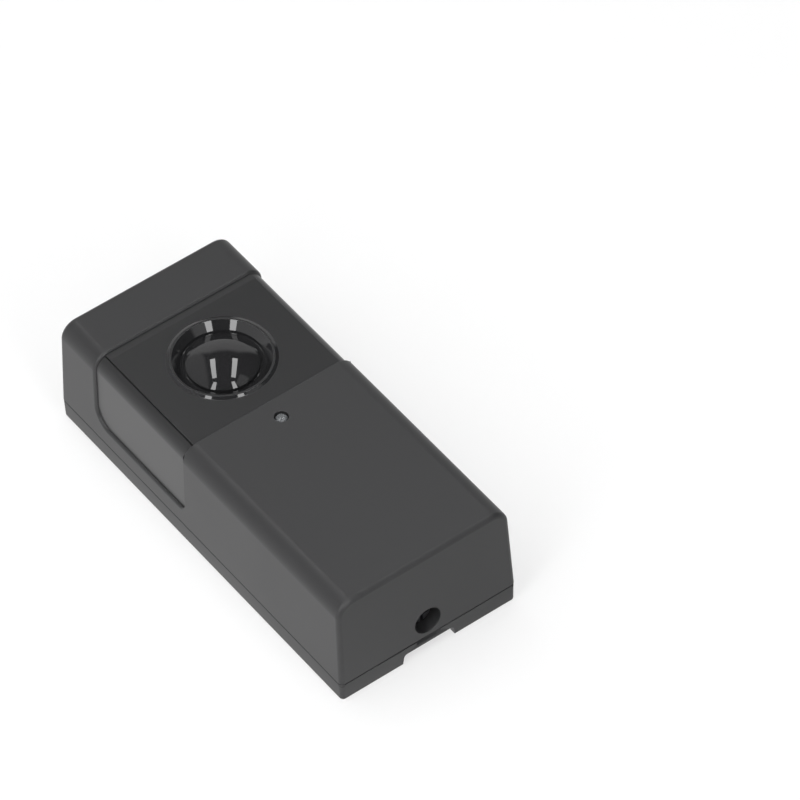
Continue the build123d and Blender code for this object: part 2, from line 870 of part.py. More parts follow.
# Brass clamps in the block, each with its wire window, screw hole and solder pin.
with BuildPart() as terminal_clamps:
    with BuildSketch(Plane.XZ.offset(-clamp_y)):
        with Locations(*[(x, clamp_z) for x, y in poles]):
            Rectangle(clamp_width, clamp_height)
            Rectangle(clamp_wire_width, clamp_wire_height, mode=Mode.SUBTRACT)
    extrude(amount=clamp_length / 2, both=True)
    with BuildSketch(Plane.XY.offset(clamp_z)):
        with Locations(*clamp_places):
            Circle(clamp_screw_radius + thread_fit)
    extrude(amount=clamp_height, mode=Mode.SUBTRACT)
    with BuildSketch(Plane.XY.offset(clamp_z - clamp_height / 2)):
        with Locations(*poles):
            Circle(solder_pin_radius)
    extrude(amount=board_z - solder_pin_length - clamp_z + clamp_height / 2)
terminal_clamps.part.label = "terminal_clamps"
export_step(terminal_clamps.part, "parts/terminal_clamps.step")

# Clamp screws, their heads on the ledges inside the wells.
head_z = well_z + clamp_ledge
clamp_screw_low = clamp_z + clamp_wire_height / 2
with BuildPart() as terminal_screws:
    with BuildSketch(Plane.XY.offset(head_z)):
        with Locations(*clamp_places):
            Circle(clamp_head_radius)
    extrude(amount=clamp_head_height)
    with BuildSketch(Plane.XY.offset(head_z + clamp_head_height)):
        with Locations(*clamp_places):
            Rectangle(2 * clamp_head_radius, screw_slot_width)
    extrude(amount=-screw_slot_depth, mode=Mode.SUBTRACT)
    with BuildSketch(Plane.XY.offset(head_z)):
        with Locations(*clamp_places):
            Circle(clamp_screw_radius)
    extrude(amount=clamp_screw_low - head_z)
terminal_screws.part.label = "terminal_screws"
export_step(terminal_screws.part, "parts/terminal_screws.step")

# Output relay, a sealed case on eight pins.
lead_low_z = board_z - lead_reach
with BuildPart() as relay:
    with BuildSketch(Plane.XY.offset(board_top)):
        with Locations((relay_x, relay_y)):
            RectangleRounded(relay_width, relay_length, relay_edge_radius)
    extrude(amount=relay_height)
    fillet(relay.faces().sort_by(Axis.Z)[-1].edges(), relay_top_radius)
    with BuildSketch(Plane.XY.offset(board_top)):
        with Locations(*relay_leads):
            Circle(lead_radius)
    extrude(amount=lead_low_z - board_top)
relay.part.label = "relay"
export_step(relay.part, "parts/relay.step")

# Storage and filter capacitors: sleeved cans with a rolled groove near the foot.
with BuildPart() as storage_capacitor:
    with Locations(Plane.XY.offset(board_top)):
        with Locations((capacitor_x, storage_y)):
            Cylinder(storage_radius, storage_height, align=(Align.CENTER, Align.CENTER, Align.MIN))
    fillet(storage_capacitor.edges().group_by(Axis.Z)[-1], can_edge_radius)
    with Locations(Plane.XY.offset(board_top + can_groove_height)):
        with Locations((capacitor_x, storage_y)):
            Torus(storage_radius + can_groove_radius / 2, can_groove_radius, mode=Mode.SUBTRACT)
    with BuildSketch(Plane.XY.offset(board_top)):
        with Locations(*storage_leads):
            Circle(lead_radius)
    extrude(amount=lead_low_z - board_top)
storage_capacitor.part.label = "storage_capacitor"
export_step(storage_capacitor.part, "parts/storage_capacitor.step")

with BuildPart() as filter_capacitor:
    with Locations(Plane.XY.offset(board_top)):
        with Locations((capacitor_x, filter_y)):
            Cylinder(filter_radius, filter_height, align=(Align.CENTER, Align.CENTER, Align.MIN))
    fillet(filter_capacitor.edges().group_by(Axis.Z)[-1], can_edge_radius)
    with Locations(Plane.XY.offset(board_top + can_groove_height)):
        with Locations((capacitor_x, filter_y)):
            Torus(filter_radius + can_groove_radius / 2, can_groove_radius, mode=Mode.SUBTRACT)
    with BuildSketch(Plane.XY.offset(board_top)):
        with Locations(*filter_leads):
            Circle(lead_radius)
    extrude(amount=lead_low_z - board_top)
filter_capacitor.part.label = "filter_capacitor"
export_step(filter_capacitor.part, "parts/filter_capacitor.step")

# Surge varistor, a coated disc on edge.
with BuildPart() as surge_varistor:
    with BuildSketch(Plane.YZ.offset(varistor_x)):
        with Locations((varistor_y, board_top + varistor_stand + varistor_radius)):
            Circle(varistor_radius)
    extrude(amount=varistor_thickness / 2, both=True)
    fillet(surge_varistor.edges(), varistor_edge)
    with BuildSketch(Plane.XY.offset(board_top + varistor_stand + varistor_radius)):
        with Locations(*varistor_leads):
            Circle(lead_radius)
    extrude(amount=lead_low_z - board_top - varistor_stand - varistor_radius)
surge_varistor.part.label = "surge_varistor"
export_step(surge_varistor.part, "parts/surge_varistor.step")

# Supply regulator, a half-round case on three leads.
with BuildPart() as voltage_regulator:
    with BuildSketch(Plane.XY.offset(board_top + regulator_stand)):
        with Locations((capacitor_x, regulator_y)):
            Circle(regulator_radius)
        with Locations((capacitor_x - regulator_radius - regulator_flat, regulator_y)):
            Rectangle(2 * regulator_radius, 2 * regulator_radius, mode=Mode.SUBTRACT)
    extrude(amount=regulator_height)
    with BuildSketch(Plane.XY.offset(board_top + regulator_stand)):
        with Locations(*regulator_leads):
            Circle(lead_radius)
    extrude(amount=lead_low_z - board_top - regulator_stand)
voltage_regulator.part.label = "voltage_regulator"
export_step(voltage_regulator.part, "parts/voltage_regulator.step")

# Rectifier diodes in a row behind the terminal block.
rectifier_y = block_back_y + pin_fit + rectifier_length / 2
rectifier_x = -led_spacer_radius - rectifier_gap - rectifier_width / 2
rectifiers = [
    (rectifier_x - i * rectifier_pitch, rectifier_y) for i in range(rectifier_count)
]
with BuildPart() as rectifier_diodes:
    with BuildSketch(Plane.XY.offset(board_top)):
        with Locations(*rectifiers):
            Rectangle(rectifier_width, rectifier_length)
    extrude(amount=rectifier_height)
    chamfer(rectifier_diodes.faces().group_by(Axis.Z)[-1].edges(), resin_edge)
rectifier_diodes.part.label = "rectifier_diodes"
export_step(rectifier_diodes.part, "parts/rectifier_diodes.step")

# Signal chip with its two rows of bent legs.
chip_x = board_width / 2 - chip_side_gap - chip_width / 2
chip_y = board_top_y - chip_end_gap - chip_length / 2
with BuildPart() as signal_chip:
    with BuildSketch(Plane.XY.offset(board_top + chip_lift)):
        with Locations((chip_x, chip_y)):
            Rectangle(chip_width, chip_length)
    extrude(amount=chip_height)
    chamfer(signal_chip.faces().sort_by(Axis.Z)[-1].edges(), resin_edge)
    with BuildSketch(Plane.XZ.offset(-chip_y)):
        with BuildLine():
            Polyline(
                (chip_x, board_top + chip_leg_rise),
                (chip_x + chip_leg_out, board_top + chip_leg_rise),
                (chip_x + chip_leg_out, board_top),
                (chip_x + chip_reach, board_top),
                (chip_x + chip_reach, board_top + chip_leg_thickness),
                (chip_x + chip_leg_out + chip_leg_thickness, board_top + chip_leg_thickness),
                (chip_x + chip_leg_out + chip_leg_thickness, board_top + chip_leg_top),
                (chip_x, board_top + chip_leg_top),
                close=True,
            )
        make_face()
        mirror(about=Plane.YZ.offset(chip_x))
    extrude(amount=chip_length / 2 - chip_leg_width / 2, both=True)
    with BuildSketch(Plane.XY.offset(board_top)):
        for side in (-1, 1):
            with Locations(*pin_row(chip_x + side * chip_reach, chip_y, chip_legs - 1, chip_pitch)):
                Rectangle(2 * (chip_reach - chip_width / 2), chip_pitch - chip_leg_width)
    extrude(amount=chip_lift + chip_height, mode=Mode.SUBTRACT)
signal_chip.part.label = "signal_chip"
export_step(signal_chip.part, "parts/signal_chip.step")

# Chip resistors in a block beside the shroud.
with BuildPart() as chip_resistors:
    with Locations(Plane.XY.offset(board_top)):
        with Locations((-chip_x, chip_y)):
            with GridLocations(resistor_row_pitch, resistor_pitch, 2, resistor_rows):
                Box(
                    resistor_length,
                    resistor_width,
                    resistor_height,
                    align=(Align.CENTER, Align.CENTER, Align.MIN),
                )
chip_resistors.part.label = "chip_resistors"
export_step(chip_resistors.part, "parts/chip_resistors.step")

# Selector header and the jumper on its first two pins.
with BuildPart() as selector_header:
    with BuildSketch(Plane.XY.offset(board_top)):
        with Locations((header_x, header_y)):
            Rectangle(lead_pitch, header_pins * lead_pitch)
    extrude(amount=header_height)
    chamfer(selector_header.edges().filter_by(Axis.Z), header_edge)
    with BuildSketch(Plane.XY.offset(lead_low_z)):
        with Locations(*header_leads):
            Rectangle(header_pin_size, header_pin_size)
    extrude(amount=board_top + header_pin_height - lead_low_z)
selector_header.part.label = "selector_header"
export_step(selector_header.part, "parts/selector_header.step")

jumper_low = board_top + header_height + window_fit
jumper_leads = header_leads[:2]
jumper_y = (jumper_leads[0][1] + jumper_leads[1][1]) / 2
with BuildPart() as selector_jumper:
    with BuildSketch(Plane.XY.offset(jumper_low)):
        with Locations((header_x, jumper_y)):
            RectangleRounded(lead_pitch, 2 * lead_pitch - pin_fit, jumper_wall / 2)
    extrude(amount=jumper_height)
    with BuildSketch(Plane.XY.offset(jumper_low)):
        with Locations(*jumper_leads):
            Rectangle(header_pin_size + 2 * pin_fit, header_pin_size + 2 * pin_fit)
    extrude(amount=jumper_height, mode=Mode.SUBTRACT)
selector_jumper.part.label = "selector_jumper"
export_step(selector_jumper.part, "parts/selector_jumper.step")
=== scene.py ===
"""Dresses the single beam photocell: finished mouldings, procedural finishes and a plain studio."""

import json
import math

import bmesh
import bpy
from mathutils import Matrix, Vector

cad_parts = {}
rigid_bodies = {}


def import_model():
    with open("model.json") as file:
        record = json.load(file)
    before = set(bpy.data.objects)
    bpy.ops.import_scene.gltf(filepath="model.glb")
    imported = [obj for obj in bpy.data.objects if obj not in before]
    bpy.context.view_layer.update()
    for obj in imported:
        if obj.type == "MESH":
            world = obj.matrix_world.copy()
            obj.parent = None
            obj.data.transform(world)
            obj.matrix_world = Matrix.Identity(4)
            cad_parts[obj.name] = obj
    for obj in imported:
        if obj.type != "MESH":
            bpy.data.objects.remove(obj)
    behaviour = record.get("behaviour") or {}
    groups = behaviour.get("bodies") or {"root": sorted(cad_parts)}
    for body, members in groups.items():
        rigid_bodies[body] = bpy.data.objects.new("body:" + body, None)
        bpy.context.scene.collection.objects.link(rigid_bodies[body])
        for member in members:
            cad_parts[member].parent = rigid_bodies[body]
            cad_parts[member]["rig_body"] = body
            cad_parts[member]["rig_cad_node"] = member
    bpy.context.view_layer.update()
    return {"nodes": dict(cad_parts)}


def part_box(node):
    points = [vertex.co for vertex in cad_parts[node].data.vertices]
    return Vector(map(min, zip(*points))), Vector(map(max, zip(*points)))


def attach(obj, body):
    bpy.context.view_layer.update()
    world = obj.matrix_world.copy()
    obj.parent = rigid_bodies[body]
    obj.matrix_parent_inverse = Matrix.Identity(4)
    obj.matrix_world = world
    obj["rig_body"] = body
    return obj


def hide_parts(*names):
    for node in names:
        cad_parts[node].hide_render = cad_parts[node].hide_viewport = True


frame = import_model()

bl_info = {
    "name": "Beam Photocell",
    "version": (1, 0, 0),
    "blender": (4, 5, 0),
    "location": "View3D > Sidebar > Photocell",
    "description": "Models and finishes a wall-mounted beam photocell around its packed frame",
    "category": "Object",
}

MM = 0.001
BODY = "root"

cover_low, cover_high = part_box("front_cover")
lamp_low, lamp_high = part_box("status_led")
screw_low, screw_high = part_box("cover_screw")
window_low, window_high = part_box("lens_window")

# Two points closer than this are one point, and what differs by less than CLOSE runs level.
TOUCH = MM / 50
CLOSE = MM / 10
# Vertices closer than this are merged.
MERGE = 0.002 * MM
# Faces that meet at less than this are shaded as one smooth surface.
CREASE = math.radians(32)


def length(name, description, default):
    """A length that a user may change."""
    return bpy.props.FloatProperty(
        name=name, description=description, default=default, unit="LENGTH",
    )


def angle(name, description, degrees):
    """An angle that a user may change, given in degrees."""
    return bpy.props.FloatProperty(
        name=name, description=description, default=math.radians(degrees), subtype="ANGLE",
    )


def colour(name, description, code):
    """A colour that a user may change, as an sRGB hex value."""
    return bpy.props.StringProperty(name=name, description=description, default=code)


class HousingSizes(bpy.types.PropertyGroup):
    """Outside of the cover and the thickness of its walls."""

    half_width: length("Half width", "Middle plane to the foot of a side", cover_high.x)
    half_length: length("Half length", "Middle to the foot of an end", cover_high.y)
    parting: length("Parting line", "Height of the joint with the base", cover_low.z)
    front: length("Front face", "Height of the front face above the wall", cover_high.z)
    side_draft: angle("Side draft", "Lean of the long sides", 1.9)
    lens_end_draft: angle("Lens end draft", "Lean of the lens end", 1.9)
    screw_end_draft: angle("Screw end draft", "Lean of the screw end", 2.6)
    long_radius: length("Long edge radius", "Round along the two long front edges", 4.5 * MM)
    end_radius: length("End edge radius", "Round about each end", 1.2 * MM)
    inner_radius: length("Inner edge radius", "Round of the inside edges at each end", 0.3 * MM)
    wall: length("Wall", "Thickness of the cover", 2.0 * MM)
    opening_rim: length(
        "Opening rim", "Round on the far and lower rims of the window's opening", 0.85 * MM,
    )
    broken_edge: length(
        "Broken edge", "Tiny round that the mould leaves on a hole's rim", 0.14 * MM,
    )


class WindowSizes(bpy.types.PropertyGroup):
    """Opening for the window, and the smoked moulding that fills it."""

    top: length("Top of opening", "Far end of the opening along the length", 41.0 * MM)
    length: length("Length of opening", "Opening along the housing", 35.5 * MM)
    low: length("Foot of wings", "Height of the opening's lower edge on the sides", 10.6 * MM)
    far_radius: length("Far corner radius", "Lower corner towards the lens end", 5.0 * MM)
    near_radius: length("Near corner radius", "Lower corner towards the screw end", 1.7 * MM)
    recess: length("Recess", "Depth of the wings below the cover's skin", 0.65 * MM)
    fit: length("Fit", "Gap round the window in its opening", 0.05 * MM)
    panel_width: length("Panel width", "Raised front panel between its two grooves", 41.8 * MM)
    panel_recess: length("Panel recess", "Depth of the panel below the front face", 0.3 * MM)
    panel_round: length("Panel edge", "Round on the panel's long edges", 0.1 * MM)
    far_slope: length(
        "Far slope", "Width of the margin that slopes down at the far edge", 2.2 * MM,
    )
    far_drop: length("Far drop", "Fall of that margin at the opening's edge", 0.3 * MM)
    flange_width: length("Flange width", "Flange behind the cover, past the opening", 1.5 * MM)
    flange_thickness: length("Flange thickness", "Thickness of the flange", 0.9 * MM)


class LensSizes(bpy.types.PropertyGroup):
    """Turned outline of the lens, with heights taken from the panel."""

    bead_radius: length("Bead radius", "Foot of the raised bead", 13.2 * MM)
    bead_height: length("Bead height", "Crest above the panel", 0.36 * MM)
    crest_radius: length("Crest radius", "Top of the bead's outer slope", 12.4 * MM)
    well_radius: length(
        "Well radius", "Inner edge of the crest, where the well begins", 11.85 * MM,
    )
    foot_radius: length("Well foot radius", "End of the conical wall", 10.3 * MM)
    foot_depth: length("Well foot depth", "Depth where the conical wall ends", 1.65 * MM)
    gutter_radius: length("Gutter radius", "Middle of the lowest ring round the dome", 9.5 * MM)
    gutter_depth: length("Gutter depth", "Depth of the lowest ring", 2.45 * MM)
    dome_radius: length("Dome rim radius", "Rim of the dome", 8.75 * MM)
    dome_depth: length("Dome rim depth", "Depth of the dome's rim", 1.55 * MM)
    dome_height: length("Dome height", "Rise of the dome above its rim", 2.0 * MM)
    back_radius: length("Boss radius", "Boss behind the lens", 12.6 * MM)
    back_depth: length("Boss depth", "Depth of the boss", 4.6 * MM)
    steps: bpy.props.IntProperty(
        name="Steps", description="Divisions round the lens", default=144, min=24,
    )


class FinishColours(bpy.types.PropertyGroup):
    """Colours of the mouldings, as sRGB hex values."""

    housing: colour("Housing", "Charcoal moulding of the cover and base", "2b2b2c")
    window: colour("Window", "Smoked moulding of the window", "232324")
    rubber: colour("Rubber", "Seal and grommet", "1f1f20")
    board: colour("Board", "Lacquer of the circuit board", "1f6b3c")
    terminal: colour("Terminal", "Moulding of the terminal block", "2f8f4f")


class StudioSettings(bpy.types.PropertyGroup):
    """Camera, floor and lamps."""

    azimuth: angle("Azimuth", "Camera round the object, 0 looks along +Y", -34.904)
    elevation: angle("Elevation", "Camera above the horizon", 48.341)
    roll: angle("Roll", "Turn of the camera about its own axis", -2.404)
    distance: length("Distance", "Camera to its target", 1530.143 * MM)
    target: bpy.props.FloatVectorProperty(
        name="Target", description="Point that the camera looks at",
        default=(40.519 * MM, 9.889 * MM, 0.0), subtype="TRANSLATION",
    )
    focal: bpy.props.FloatProperty(
        name="Focal length", description="Focal length on a 36 mm sensor, in millimetres",
        default=290.029,
    )
    strip_radiance: bpy.props.FloatProperty(
        name="Strip radiance", description="Brightness of a strip softbox, where 1 is white",
        default=6.0, min=0.0,
    )
    fill_radiance: bpy.props.FloatProperty(
        name="Fill radiance", description="Brightness of the overhead fill, where 1 is white",
        default=0.74, min=0.0,
    )
    floor_colour: colour("Floor", "Pale floor", "f2f2f2")


def settings(name):
    """The scene's values of one property group."""
    return getattr(bpy.context.scene, "photocell_" + name)


# Modelling


def deselect_all():
    """Leaves nothing selected and nothing active in edit mode."""
    if bpy.context.mode != "OBJECT":
        bpy.ops.object.mode_set(mode="OBJECT")
    bpy.ops.object.select_all(action="DESELECT")


def activate(piece):
    """Makes one piece the only selected and active one."""
    deselect_all()
    piece.select_set(True)
    bpy.context.view_layer.objects.active = piece


def named_piece(name):
    """Names the active new object and its mesh."""
    piece = bpy.context.active_object
    piece.name = name
    piece.data.name = name
    return piece


def add_block(name, low, high):
    """A block from its lowest to its highest corner."""
    deselect_all()
    middle = [(a + b) / 2 for a, b in zip(low, high)]
    size = [b - a for a, b in zip(low, high)]
    bpy.ops.mesh.primitive_cube_add(size=1, location=middle, scale=size)
    piece = named_piece(name)
    bpy.ops.object.transform_apply(location=True, rotation=True, scale=True)
    return piece


def add_bar(name, radius, start, end, segments=64):
    """A round bar between two points that differ along one axis."""
    deselect_all()
    start, end = Vector(start), Vector(end)
    turn = (end - start).to_track_quat("Z", "Y").to_euler()
    bpy.ops.mesh.primitive_cylinder_add(
        vertices=segments, radius=radius, depth=(end - start).length,
        location=(start + end) / 2, rotation=turn,
    )
    piece = named_piece(name)
    bpy.ops.object.transform_apply(location=True, rotation=True, scale=True)
    return piece


def select_where(piece, kind, test):
    """In edit mode, selects the vertices, edges or faces that pass a test."""
    activate(piece)
    bpy.ops.object.mode_set(mode="EDIT")
    bpy.ops.mesh.select_mode(type=kind)
    bpy.ops.mesh.select_all(action="DESELECT")
    mesh = bmesh.from_edit_mesh(piece.data)
    parts = {"VERT": mesh.verts, "EDGE": mesh.edges, "FACE": mesh.faces}[kind]
    for part in parts:
        if test(part):
            part.select_set(True)
    mesh.select_flush_mode()
    bmesh.update_edit_mesh(piece.data)


def shift_where(piece, test, offset):
    """Moves the vertices that pass a test."""
    select_where(piece, "VERT", test)
    bpy.ops.transform.translate(value=offset)
    deselect_all()


def round_where(piece, test, radius, segments, corner=math.pi / 2):
    """Rounds the edges that pass a test, for faces that meet at the corner angle."""
    select_where(piece, "EDGE", test)
    bpy.ops.mesh.bevel(
        offset=radius / math.tan(corner / 2), segments=segments, profile=0.5,
        affect="EDGES", clamp_overlap=True,
    )
    deselect_all()


def round_by_weight(piece, weight_of, radius, segments):
    """Rounds each edge by its own share of a radius, where the share isn't zero."""
    activate(piece)
    weights = piece.data.attributes.new("bevel_weight_edge", "FLOAT", "EDGE")
    for edge in piece.data.edges:
        a, b = (piece.data.vertices[i].co for i in edge.vertices)
        weights.data[edge.index].value = weight_of(a, b)
    step = piece.modifiers.new("round", "BEVEL")
    step.limit_method = "WEIGHT"
    step.width = radius
    step.segments = segments
    bpy.ops.object.modifier_apply(modifier=step.name)
    piece.data.attributes.remove(piece.data.attributes["bevel_weight_edge"])
    deselect_all()


def combine(piece, tool, operation):
    """Joins, cuts or keeps what is shared with a tool, and deletes the tool."""
    activate(piece)
    step = piece.modifiers.new("combine", "BOOLEAN")
    step.operation = operation
    step.solver = "EXACT"
    step.object = tool
    bpy.ops.object.modifier_apply(modifier=step.name)
    bpy.data.objects.remove(tool)


def finish_piece(piece, material, crease=CREASE, replaces=()):
    """Cleans the mesh, smooths its shading, gives it its finish and fixes it to the body."""
    activate(piece)
    bpy.ops.object.mode_set(mode="EDIT")
    bpy.ops.mesh.select_all(action="SELECT")
    bpy.ops.mesh.remove_doubles(threshold=MERGE)
    bpy.ops.mesh.dissolve_degenerate(threshold=MERGE / 2)
    bpy.ops.mesh.normals_make_consistent(inside=False)
    bpy.ops.object.mode_set(mode="OBJECT")
    bpy.ops.object.shade_smooth_by_angle(angle=crease)
    weigh = piece.modifiers.new("weigh", "WEIGHTED_NORMAL")
    weigh.keep_sharp = True
    weigh.mode = "FACE_AREA_WITH_ANGLE"
    bpy.ops.object.modifier_apply(modifier=weigh.name)
    piece.data.materials.clear()
    piece.data.materials.append(material)
    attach(piece, BODY)
    if replaces:
        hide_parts(*replaces)
    deselect_all()
    return piece


def moulded_form(name, inset, edge_radius):
    """The drafted outside of the cover, moved inwards and solid down to the parting line."""
    size = settings("housing")
    foot_x = size.half_width - inset
    far_y = size.half_length - inset
    near_y = inset - size.half_length
    top = size.front - inset
    rise = top - size.parting
    form = add_block(name, (-foot_x, near_y, size.parting), (foot_x, far_y, top))
    middle = size.parting + rise / 2
    lean_x = rise * math.tan(size.side_draft)
    lean_far = rise * math.tan(size.lens_end_draft)
    lean_near = rise * math.tan(size.screw_end_draft)
    shift_where(form, lambda v: v.co.z > middle and v.co.x > 0, (-lean_x, 0, 0))
    shift_where(form, lambda v: v.co.z > middle and v.co.x < 0, (lean_x, 0, 0))
    shift_where(form, lambda v: v.co.z > middle and v.co.y > 0, (0, -lean_far, 0))
    shift_where(form, lambda v: v.co.z > middle and v.co.y < 0, (0, lean_near, 0))

    def is_long_edge(edge):
        a, b = (v.co for v in edge.verts)
        return min(a.z, b.z) > middle and abs(a.x - b.x) < CLOSE

    def is_end_rim(edge):
        a, b = (v.co for v in edge.verts)
        if max(a.z, b.z) < size.parting + CLOSE:
            return False
        for end, lean in ((far_y, lean_far), (near_y, -lean_near)):
            plane = [abs(v.y - end + lean * (v.z - size.parting) / rise) for v in (a, b)]
            if max(plane) < TOUCH:
                return True
        return False

    round_where(
        form, is_long_edge, size.long_radius - inset, segments=14,
        corner=math.pi / 2 + size.side_draft,
    )
    round_where(form, is_end_rim, edge_radius, segments=8)
    return form


def opening_prism(name, grow):
    """The window's opening seen from the side, carried right across the housing."""
    size = settings("housing")
    window = settings("window")
    near = window.top - window.length - grow
    far = window.top + grow
    low = window.low - grow
    reach = 2 * size.half_width
    prism = add_block(name, (-reach, near, low), (reach, far, 2 * size.front))

    def is_low_edge(edge, y):
        a, b = (v.co for v in edge.verts)
        return max(abs(v.y - y) + abs(v.z - low) for v in (a, b)) < TOUCH

    round_where(prism, lambda edge: is_low_edge(edge, far), window.far_radius, segments=16)
    round_where(prism, lambda edge: is_low_edge(edge, near), window.near_radius, segments=8)
    return prism


def skin_depth(point, size):
    """Depth of a point below the skin of the cover, across its section."""
    side = size.half_width - (point.z - size.parting) * math.tan(size.side_draft) - abs(point.x)
    front = size.front - point.z
    radius = size.long_radius
    if side < radius and front < radius:
        return radius - math.hypot(radius - side, radius - front)
    return min(side, front)


def turned(name, outline, centre, steps):
    """A closed outline of radius and height, drawn point by point and spun upright."""
    deselect_all()
    bpy.ops.mesh.primitive_plane_add(size=MM, location=(0, 0, 0))
    piece = named_piece(name)
    bpy.ops.object.mode_set(mode="EDIT")
    bpy.ops.mesh.select_mode(type="VERT")
    bpy.ops.mesh.select_all(action="SELECT")
    bpy.ops.mesh.merge(type="CENTER")
    here = Vector((centre[0] + outline[0][0], centre[1], outline[0][1]))
    bpy.ops.transform.translate(value=here)
    for radius, height in outline[1:]:
        there = Vector((centre[0] + radius, centre[1], height))
        bpy.ops.mesh.extrude_region_move(TRANSFORM_OT_translate={"value": there - here})
        here = there
    bpy.ops.mesh.select_all(action="SELECT")
    bpy.ops.mesh.spin(
        steps=steps, angle=2 * math.pi, center=(centre[0], centre[1], 0), axis=(0, 0, 1),
    )
    bpy.ops.mesh.select_all(action="SELECT")
    bpy.ops.mesh.remove_doubles(threshold=MERGE)
    bpy.ops.mesh.normals_make_consistent(inside=False)
    deselect_all()
    return piece


def arc(start, end, radius, steps):
    """Points after the start of a shallow arc that bulges to the right of its run."""
    start, end = Vector(start), Vector(end)
    chord = end - start
    across = Vector((-chord.y, chord.x)).normalized()
    sink = math.sqrt(max(radius**2 - chord.length_squared / 4, 0.0))
    centre = (start + end) / 2 + across * sink
    first = math.atan2(start.y - centre.y, start.x - centre.x)
    sweep = 2 * math.asin(min(1.0, chord.length / 2 / radius))
    return [
        (
            centre.x + radius * math.cos(first + sweep * i / steps),
            centre.y + radius * math.sin(first + sweep * i / steps),
        )
        for i in range(1, steps + 1)
    ]


def eased(before, corner, after, reach, steps=4):
    """A small curve in place of the corner between two straight runs."""
    before, corner, after = Vector(before), Vector(corner), Vector(after)
    start = corner + (before - corner).normalized() * reach
    end = corner + (after - corner).normalized() * reach
    shares = [i / steps for i in range(steps + 1)]
    return [tuple(start.lerp(corner, s).lerp(corner.lerp(end, s), s)) for s in shares]


# Materials


def linear(code):
    """An sRGB hex value as a linear colour."""
    parts = [int(code[i:i + 2], 16) / 255 for i in (0, 2, 4)]
    return [c / 12.92 if c <= 0.04045 else ((c + 0.055) / 1.055) ** 2.4 for c in parts] + [1.0]


def add_node(tree, kind, values=None, links=None, **options):
    """Adds a node, sets its options and inputs, and links its inputs from other sockets."""
    node = tree.nodes.new(kind)
    for key, value in options.items():
        setattr(node, key, value)
    for key, value in (values or {}).items():
        node.inputs[key].default_value = value
    for key, socket in (links or {}).items():
        tree.links.new(socket, node.inputs[key])
    return node


def noise(spacing_mm, detail, roughness=0.5):
    """Settings of a noise pattern, from the spacing of its marks in millimetres."""
    return {"Scale": 1 / (spacing_mm * MM), "Detail": detail, "Roughness": roughness}


def span(*limits):
    """Settings of a range: the limits of what it reads, then the values it gives there."""
    return dict(zip(("From Min", "From Max", "To Min", "To Max"), limits))


# The socket that holds a colour mix's result.
MIXED = 2


def tints(code, spread):
    """The darker and the lighter colour between which a pattern runs.

    They are keyed by the sockets of a colour mix.
    """
    base = linear(code)
    darker, lighter = ([c * share for c in base[:3]] + [1.0] for share in (1 - spread, 1 + spread))
    return {6: darker, 7: lighter}


def new_material(name):
    """An empty node material with its output and Object coordinates."""
    material = bpy.data.materials.new(name)
    material.use_nodes = True
    tree = material.node_tree
    tree.nodes.clear()
    output = add_node(tree, "ShaderNodeOutputMaterial")
    place = add_node(tree, "ShaderNodeTexCoord")
    return material, tree, output, place.outputs["Object"]


def give_surface(tree, output, values, tint, haze, bump):
    """Gives a material its surface: set values, and patterns for colour, roughness and relief."""
    shader = add_node(
        tree, "ShaderNodeBsdfPrincipled", values,
        {
            "Base Color": tint.outputs[MIXED],
            "Roughness": haze.outputs["Result"],
            "Normal": bump.outputs["Normal"],
        },
    )
    tree.links.new(shader.outputs["BSDF"], output.inputs["Surface"])


def patterned_material(name, code, spread, fine, relief, rough, values, broad=None):
    """A finish whose fine pattern tints it and gives it relief, and whose broad one roughens it.

    The relief is a strength and a depth in millimetres. The broad pattern is the fine one where
    none is given.
    """
    material, tree, output, place = new_material(name)
    grain = add_node(tree, "ShaderNodeTexNoise", fine, {"Vector": place})
    drift = add_node(tree, "ShaderNodeTexNoise", broad, {"Vector": place}) if broad else grain
    height = grain.outputs["Fac"]
    tint = add_node(
        tree, "ShaderNodeMix", tints(code, spread), {0: height}, data_type="RGBA",
    )
    haze = add_node(
        tree, "ShaderNodeMapRange", span(0.0, 1.0, *rough), {"Value": drift.outputs["Fac"]},
    )
    bump = add_node(
        tree, "ShaderNodeBump", {"Strength": relief[0], "Distance": relief[1] * MM},
        {"Height": height},
    )
    give_surface(tree, output, values, tint, haze, bump)
    return material


def grained_plastic(name, code, rough, grain_mm, depth_mm, ior=1.53):
    """A moulded plastic whose mould was spark eroded: fine even pits and a soft low sheen.

    The real pits are finer than a tenth of a millimetre. They are drawn coarser, so that they show.
    """
    return patterned_material(
        name, code, spread=0.06, fine=noise(grain_mm, 3.0, 0.6), relief=(0.6, depth_mm),
        rough=(rough - 0.03, rough + 0.03), values={"IOR": ior}, broad=noise(18, 2.0),
    )


def polished_plastic(name, code, rough=0.16):
    """A gloss moulding, with the faint waviness that a polished tool leaves."""
    return patterned_material(
        name, code, spread=0.05, fine=noise(2.5, 2.0), relief=(0.3, 0.01),
        rough=(rough, rough + 0.08), values={"IOR": 1.5},
    )


def plated_metal(name, code, rough=0.28):
    """Plated metal with fine drawing marks and a slightly uneven plate."""
    return patterned_material(
        name, code, spread=0.08, fine=noise(0.3, 4.0), relief=(0.4, 0.01),
        rough=(rough - 0.08, rough + 0.1), values={"Metallic": 1.0},
    )


def clear_resin_material():
    """Cast clear epoxy of a lamp: faintly cloudy inside and smooth outside."""
    return patterned_material(
        "clear_epoxy", "8f9295", spread=0.03, fine=noise(0.8, 2.0), relief=(0.0, 0.01),
        rough=(0.2, 0.26), values={"IOR": 1.54, "Transmission Weight": 0.6},
    )


